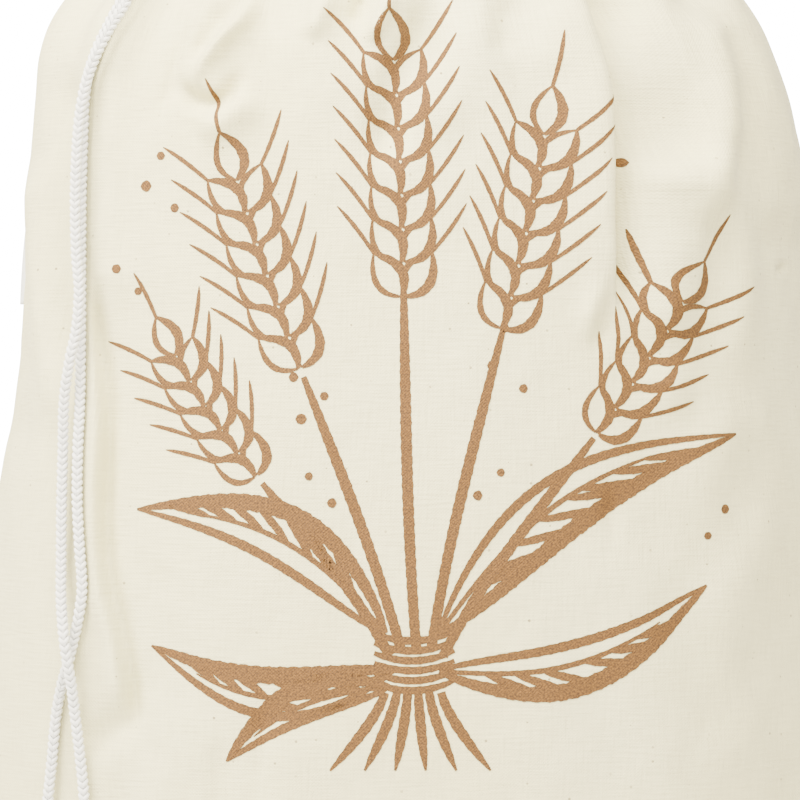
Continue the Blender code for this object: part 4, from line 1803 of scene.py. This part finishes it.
@dataclass(frozen=True)
class LeafShape:
    """What every leaf shares: how its edges run, and its midrib and veins in steps along it."""

    steps: int = 20
    fullness: float = 0.8
    lit_half: float = 0.8
    midrib_steps: int = 16
    first_vein: int = 3
    veined_steps: int = 14
    vein_steps: int = 3
    vein_reach: float = 0.82
    vein_bow: float = 0.4


@dataclass(frozen=True)
class InkSizes:
    """How the strokes lie on the cloth, in millimetres, and their edges' waves, each a share and a rate."""

    proud: float = 0.09
    layer: float = 0.006
    layers: int = 9
    step: float = 0.7
    fewest_steps: int = 6
    lane: float = 0.8
    fewest_lanes: int = 2
    long_wave: Pair = (0.06, 1.9)
    short_wave: Pair = (0.04, 4.7)


class Print:
    """A plain drawing of cereal ears, leaves and dots in one ink, laid on the cloth's front."""

    HEIGHTS = (40.0, 281.0, 4.0)
    STEM_STEPS = 24
    SWELL = 0.7
    DOT_STEPS = 8
    DOT_EDGE = 0.004
    TINY = 1e-9

    def __init__(self, surface: ClothSurface) -> None:
        """Keeps the cloth, and a table of the front's outline at even heights.

        Args:
            surface: The cloth's surface.
        """
        self.surface = surface
        self.ink = InkSizes()
        self.strokes: list[Stroke] = []
        self.heights = np.arange(*self.HEIGHTS)
        front = slice(Outline.STEPS + 1)
        outlines = [Outline(surface.profile, height) for height in self.heights]
        self.outlines = [(outline.x[front], outline.shares[front]) for outline in outlines]

    def add(self, points: np.ndarray, pen: Pen) -> None:
        """Adds a stroke through these points, which swells to its widest in its middle.

        Args:
            points: The points in x and height.
            pen: The pen that it is drawn with.
        """
        widest, start, end = pen.value
        part = np.linspace(0.0, 1.0, len(points))
        base = start + (end - start) * part
        widths = widest * (base + (1.0 - base) * np.sin(math.pi * part) ** self.SWELL)
        self.strokes.append(Stroke(points, widths))

    def ear(self, ear: Ear) -> None:
        """Adds an ear's stem, its pairs of grains, and the grain at its tip.

        Args:
            ear: The ear.
        """
        last, size = self.STEM_STEPS, ear.size
        spine, side, length = spine_between(ear.foot, ear.head, last)
        part = np.linspace(0.0, 1.0, last + 1)[:, None]
        spine = spine + side * ear.bow * (np.sin(math.pi * part * 0.5) ** 2 - part)
        eared = size * (ear.grains + 0.5) * GrainShape().pitch / length
        self.add(spine[: round((1.0 - eared) * last) + 2], Pen.STEM)
        for index in range(ear.grains):
            place = (1.0 - eared * (ear.grains - index) / (ear.grains + 0.5)) * last
            at, ahead = (point_at(spine, step) for step in (place, min(place + 1, last)))
            up = (ahead - at) / max(float(np.linalg.norm(ahead - at)), self.TINY)
            for lean in (Leaning.LEFT, Leaning.RIGHT):
                self.grain(at, up, lean, size)
        up = spine[-1] - spine[-2]
        self.grain(spine[-1], up / float(np.linalg.norm(up)), Leaning.UPRIGHT, size)

    def grain(self, at: np.ndarray, up: np.ndarray, lean: Leaning, size: float) -> None:
        """Adds one grain as two curved strokes, with its awn.

        Args:
            at: The place on the stem that it grows from.
            up: The way that the stem runs there.
            lean: Which way it leans.
            size: Its length.
        """
        shape = GrainShape()
        cosine, sine = math.cos(lean.value * shape.lean), math.sin(lean.value * shape.lean)
        way = np.array([up[0] * cosine + up[1] * sine, up[1] * cosine - up[0] * sine])
        side = np.array([way[1], -way[0]])
        base = at + way * shape.foot * size
        tip = at + way * shape.tip * size
        middle = 0.5 * (base + tip)
        for sign, pen in ((-1.0, Pen.GRAIN_LIT), (1.0, Pen.GRAIN_SHADED)):
            bulge = middle + side * sign * shape.bulge * size - way * shape.bulge_drop * size
            self.add(bend(base, bulge, tip), pen)
        awn = tip + way * shape.awn * size + shape.awn_lean * size * side * lean.value
        self.add(bend(tip, 0.5 * (tip + awn) + side * shape.awn_bow * size, awn), Pen.AWN)

    def leaf(self, leaf: Leaf) -> None:
        """Adds a leaf's two edges, its midrib and some veins on its shaded side.

        Args:
            leaf: The leaf.
        """
        shape = LeafShape()
        spine, side, _ = spine_between(leaf.root, leaf.tip, shape.steps)
        part = np.linspace(0.0, 1.0, shape.steps + 1)[:, None]
        spine = spine + side * leaf.bow * np.sin(math.pi * part)
        breadth = leaf.belly * np.sin(math.pi * part**shape.fullness)
        self.add(spine + side * breadth, Pen.LEAF_SHADED)
        self.add(spine - side * breadth * shape.lit_half, Pen.LEAF_LIT)
        self.add(spine[: shape.midrib_steps + 1], Pen.MIDRIB)
        for index in range(leaf.veins):
            place = shape.first_vein + index * shape.veined_steps // leaf.veins
            edge = min(place + shape.vein_steps, shape.steps)
            start, end = spine[place], spine[edge] + side * breadth[edge] * shape.vein_reach
            self.add(bend(start, 0.5 * (start + end) + side * shape.vein_bow, end), Pen.VEIN)

    def dot(self, dot: Dot) -> None:
        """Adds a round dot, as a short fat stroke.

        Args:
            dot: The dot.
        """
        steps = np.linspace(-1.0, 1.0, self.DOT_STEPS + 1)
        points = np.stack([dot.x + 0.5 * dot.size * steps, np.full(len(steps), dot.z)], axis=1)
        widths = dot.size * np.sqrt(np.maximum(1.0 - steps * steps, self.DOT_EDGE))
        self.strokes.append(Stroke(points, widths))

    def bunch(self, sizes: BunchSizes) -> None:
        """Adds the band that ties the stems together, and their cut ends.

        Args:
            sizes: The band's and the ends' sizes.
        """
        left, right = sizes.middle - sizes.half_width, sizes.middle + sizes.half_width
        for index in range(sizes.turns):
            height = sizes.top - sizes.pitch * index
            middle, end = (sizes.middle, height - sizes.sag), (right, height + sizes.slant)
            self.add(bend((left, height), middle, end), Pen.BAND)
        for spread in sizes.stalks:
            places = zip(sizes.stalk_spreads, sizes.stalk_heights)
            start, middle, end = ((sizes.middle + share * spread, height) for share, height in places)
            self.add(bend(start, middle, end), Pen.STALK)

    def draw(self) -> None:
        """Lays out the whole drawing."""
        for ear in EARS:
            self.ear(ear)
        for leaf in LEAVES:
            self.leaf(leaf)
        self.bunch(BunchSizes())
        for dot in DOTS:
            self.dot(dot)

    def ribbon(self, stroke: Stroke, proud: float) -> ArrayPair:
        """One stroke laid on the cloth.

        Args:
            stroke: The stroke.
            proud: How far off the cloth it lies, in millimetres.

        Returns:
            A grid of points and its flat coordinates.
        """
        sizes, points = self.ink, stroke.points
        run = np.concatenate([[0.0], np.cumsum(np.linalg.norm(np.diff(points, axis=0), axis=1))])
        count = max(int(run[-1] / sizes.step), sizes.fewest_steps)
        wanted = np.linspace(0.0, run[-1], count + 1)
        xs, zs = (Curve1D(run, points[:, axis]).at(wanted) for axis in range(2))
        (long_rise, long_rate), (short_rise, short_rate) = sizes.long_wave, sizes.short_wave
        long_waves = long_rise * np.sin(long_rate * wanted + points[0, 0])
        widths = np.interp(wanted, run, stroke.widths)
        widths = widths * (1.0 + long_waves + short_rise * np.sin(short_rate * wanted))
        way = np.gradient(np.stack([xs, zs], axis=1), axis=0)
        way /= np.maximum(np.linalg.norm(way, axis=1, keepdims=True), self.TINY)
        lanes = max(sizes.fewest_lanes, math.ceil(float(widths.max()) / sizes.lane))
        offsets = np.linspace(-0.5, 0.5, lanes + 1)
        x = xs[:, None] + way[:, 1:2] * widths[:, None] * offsets[None, :]
        z = zs[:, None] - way[:, 0:1] * widths[:, None] * offsets[None, :]
        shares = self.shares_at(x.ravel(), z.ravel())
        places, normals = self.surface.sample(shares, z.ravel())
        places = places + normals * proud * MM
        cloth_length = np.interp(z.ravel(), self.surface.wall_heights, self.surface.wall_lengths)
        flat = np.stack([shares * self.surface.sizes.cloth_width * MM, cloth_length], axis=1)
        return places.reshape(*x.shape, 3), flat.reshape(*x.shape, 2)

    def shares_at(self, x: np.ndarray, z: np.ndarray) -> np.ndarray:
        """The shares of the front at places of the drawing.

        Args:
            x: The places across the bag.
            z: Their heights.

        Returns:
            The share of each.
        """
        heights = self.heights
        low = np.clip(np.searchsorted(heights, z) - 1, 0, len(heights) - 2)
        part = (z - heights[low]) / (heights[low + 1] - heights[low])
        found = np.empty(len(x))
        for index in np.unique(low):
            chosen = low == index
            first, second = (np.interp(x[chosen], *self.outlines[near]) for near in (index, index + 1))
            found[chosen] = first * (1.0 - part[chosen]) + second * part[chosen]
        return found

    def build(self, finish: bpy.types.Material) -> bpy.types.Object:
        """Builds the drawing as one thin layer of ink.

        Args:
            finish: The ink's material.

        Returns:
            The new object.
        """
        self.draw()
        work = new_work()
        for index, stroke in enumerate(self.strokes):
            lay_grid(work, *self.ribbon(stroke, self.ink.proud + self.ink.layer * (index % self.ink.layers)))
        bmesh.ops.recalc_face_normals(work, faces=work.faces)
        bmesh.ops.reverse_faces(work, faces=[face for face in work.faces if face.normal.y > 0.0])
        return add_object("print", finished("print", work), finish)


def spine_between(start: Pair, end: Pair, steps: int) -> tuple[np.ndarray, np.ndarray, float]:
    """A straight row of points for a stem or a leaf.

    Args:
        start: Where it starts.
        end: Where it ends.
        steps: How many steps it has.

    Returns:
        The points, the unit way to its side, and its length.
    """
    foot, way = np.array(start), np.array(end) - np.array(start)
    length = float(np.linalg.norm(way))
    points = foot + way * np.linspace(0.0, 1.0, steps + 1)[:, None]
    return points, np.array([way[1], -way[0]]) / length, length


def point_at(points: np.ndarray, place: float) -> np.ndarray:
    """The point at a place of a row of points, which may lie between two of them."""
    return np.array([np.interp(place, np.arange(len(points)), values) for values in points.T])


def bend(start: Sequence[float], middle: Sequence[float], end: Sequence[float], steps: int = 8) -> np.ndarray:
    """Points on a curved line.

    Args:
        start: Where it starts.
        middle: What it passes half-way.
        end: Where it ends.
        steps: How many steps it has.

    Returns:
        The points, one row each.
    """
    a, b, c = (np.asarray(point, float) for point in (start, middle, end))
    control = 2.0 * b - 0.5 * (a + c)
    t = np.linspace(0.0, 1.0, steps + 1)[:, None]
    return a * (1 - t) ** 2 + control * 2 * t * (1 - t) + c * t * t


@dataclass(frozen=True)
class CameraSizes:
    """Where the camera stands, in metres, and its lens."""

    place: Triple = (-0.00224, -1.2, 0.157)
    sensor: float = 36.0
    lens: float = 192.86


WARM_LIGHT: Triple = (1.0, 0.93, 0.76)
WHITE: Triple = (1.0, 1.0, 1.0)


@dataclass(frozen=True)
class Lamp:
    """One soft lamp: its place and what it looks at, in metres, its size and power."""

    name: str
    place: Triple
    target: Triple
    size: float
    power: float
    colour: Triple = WARM_LIGHT


LAMPS: tuple[Lamp, ...] = (
    Lamp("key", (-0.521, -0.365, 0.836), (0.0, 0.0, 0.20), 0.70, 52.0),
    Lamp("top", (0.124, -0.464, 0.701), (0.0, 0.0, 0.22), 0.36, 16.5),
)


@dataclass(frozen=True)
class StudioSizes:
    """The floor's sizes in metres, and how strong the surround is as a light and as it is seen."""

    floor_radius: float = 0.9
    floor_sides: int = 96
    floor_drop: float = 0.0002
    light_strength: float = 1.15
    seen_strength: float = 18.0


@dataclass(frozen=True)
class FloorFinish:
    """The floor's pale, half matt paint."""

    name: str = "pale_floor"
    colour: Triple = (0.86, 0.86, 0.86)
    roughness: float = 0.6


class Studio:
    """The camera, the soft lamps, the white surround and the pale floor."""

    def __init__(self, sizes: StudioSizes) -> None:
        """Keeps the sizes."""
        self.sizes = sizes

    def build(self) -> None:
        """Builds all of it."""
        self.camera(CameraSizes())
        for lamp in LAMPS:
            self.lamp(lamp)
        self.world()
        self.floor(FloorFinish())

    def camera(self, sizes: CameraSizes) -> None:
        """The camera at the photograph's place.

        Args:
            sizes: Where it stands, and its lens.
        """
        data = bpy.data.cameras.new("camera")
        data.sensor_width = sizes.sensor
        data.lens = sizes.lens
        made = bpy.data.objects.new("camera", data)
        bpy.context.scene.collection.objects.link(made)
        made.location = sizes.place
        made.rotation_euler = (0.5 * math.pi, 0.0, 0.0)
        bpy.context.scene.camera = made

    def lamp(self, lamp: Lamp) -> None:
        """One soft square lamp.

        Args:
            lamp: The lamp.
        """
        data = bpy.data.lights.new(lamp.name, "AREA")
        data.shape = "SQUARE"
        data.size = lamp.size
        data.energy = lamp.power
        data.color = lamp.colour
        made = bpy.data.objects.new(lamp.name, data)
        bpy.context.scene.collection.objects.link(made)
        made.location = lamp.place
        way = Vector(lamp.target) - Vector(lamp.place)
        made.rotation_euler = way.to_track_quat("-Z", "Y").to_euler()

    def world(self) -> None:
        """The white surround."""
        world = bpy.data.worlds.new("surround")
        world.use_nodes = True
        nodes, links = world.node_tree.nodes, world.node_tree.links
        light = nodes["Background"]
        light.inputs["Color"].default_value = (*WARM_LIGHT, 1.0)
        light.inputs["Strength"].default_value = self.sizes.light_strength
        seen = nodes.new("ShaderNodeBackground")
        seen.inputs["Color"].default_value = (*WHITE, 1.0)
        seen.inputs["Strength"].default_value = self.sizes.seen_strength
        mix = nodes.new("ShaderNodeMixShader")
        links.new(nodes.new("ShaderNodeLightPath").outputs["Is Camera Ray"], mix.inputs[0])
        links.new(light.outputs[0], mix.inputs[1])
        links.new(seen.outputs[0], mix.inputs[2])
        links.new(mix.outputs[0], nodes["World Output"].inputs["Surface"])
        bpy.context.scene.world = world

    def floor(self, finish: FloorFinish) -> None:
        """A round floor under the bag.

        Args:
            finish: The floor's finish.
        """
        sizes = self.sizes
        mesh = bpy.data.meshes.new("floor")
        work = bmesh.new()
        bmesh.ops.create_circle(work, cap_ends=True, segments=sizes.floor_sides, radius=sizes.floor_radius)
        for vertex in work.verts:
            vertex.co.z = -sizes.floor_drop
        work.to_mesh(mesh)
        work.free()
        shader = Shader(finish.name)
        shader.set(Base_Color=finish.colour, Roughness=finish.roughness)
        mesh.materials.append(shader.material)
        made = bpy.data.objects.new("floor", mesh)
        bpy.context.scene.collection.objects.link(made)


def main() -> None:
    """Builds the bag's looks and the studio, and reports each piece."""
    logging.basicConfig(level=logging.INFO, format="%(name)s: %(message)s")
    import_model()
    sizes = BagSizes()
    surface = ClothSurface(sizes, [route for _, route in CordSet.STRANDS])
    pieces = [
        ClothPiece(surface, sizes).build(cotton(CottonFinish())),
        Print(surface).build(ink(InkFinish())),
        *CordSet(Braid(BraidSizes())).build(yarn(YarnFinish("cord_yarn"))),
        Label(surface, LabelSizes()).build(yarn(YarnFinish("label_tape", fibre=0.3))),
    ]
    for piece in pieces:
        LOG.info("%s: %d faces", piece.name, len(piece.data.polygons))
    Studio(StudioSizes()).build()
    bpy.context.view_layer.update()


if __name__ == "__main__":
    main()
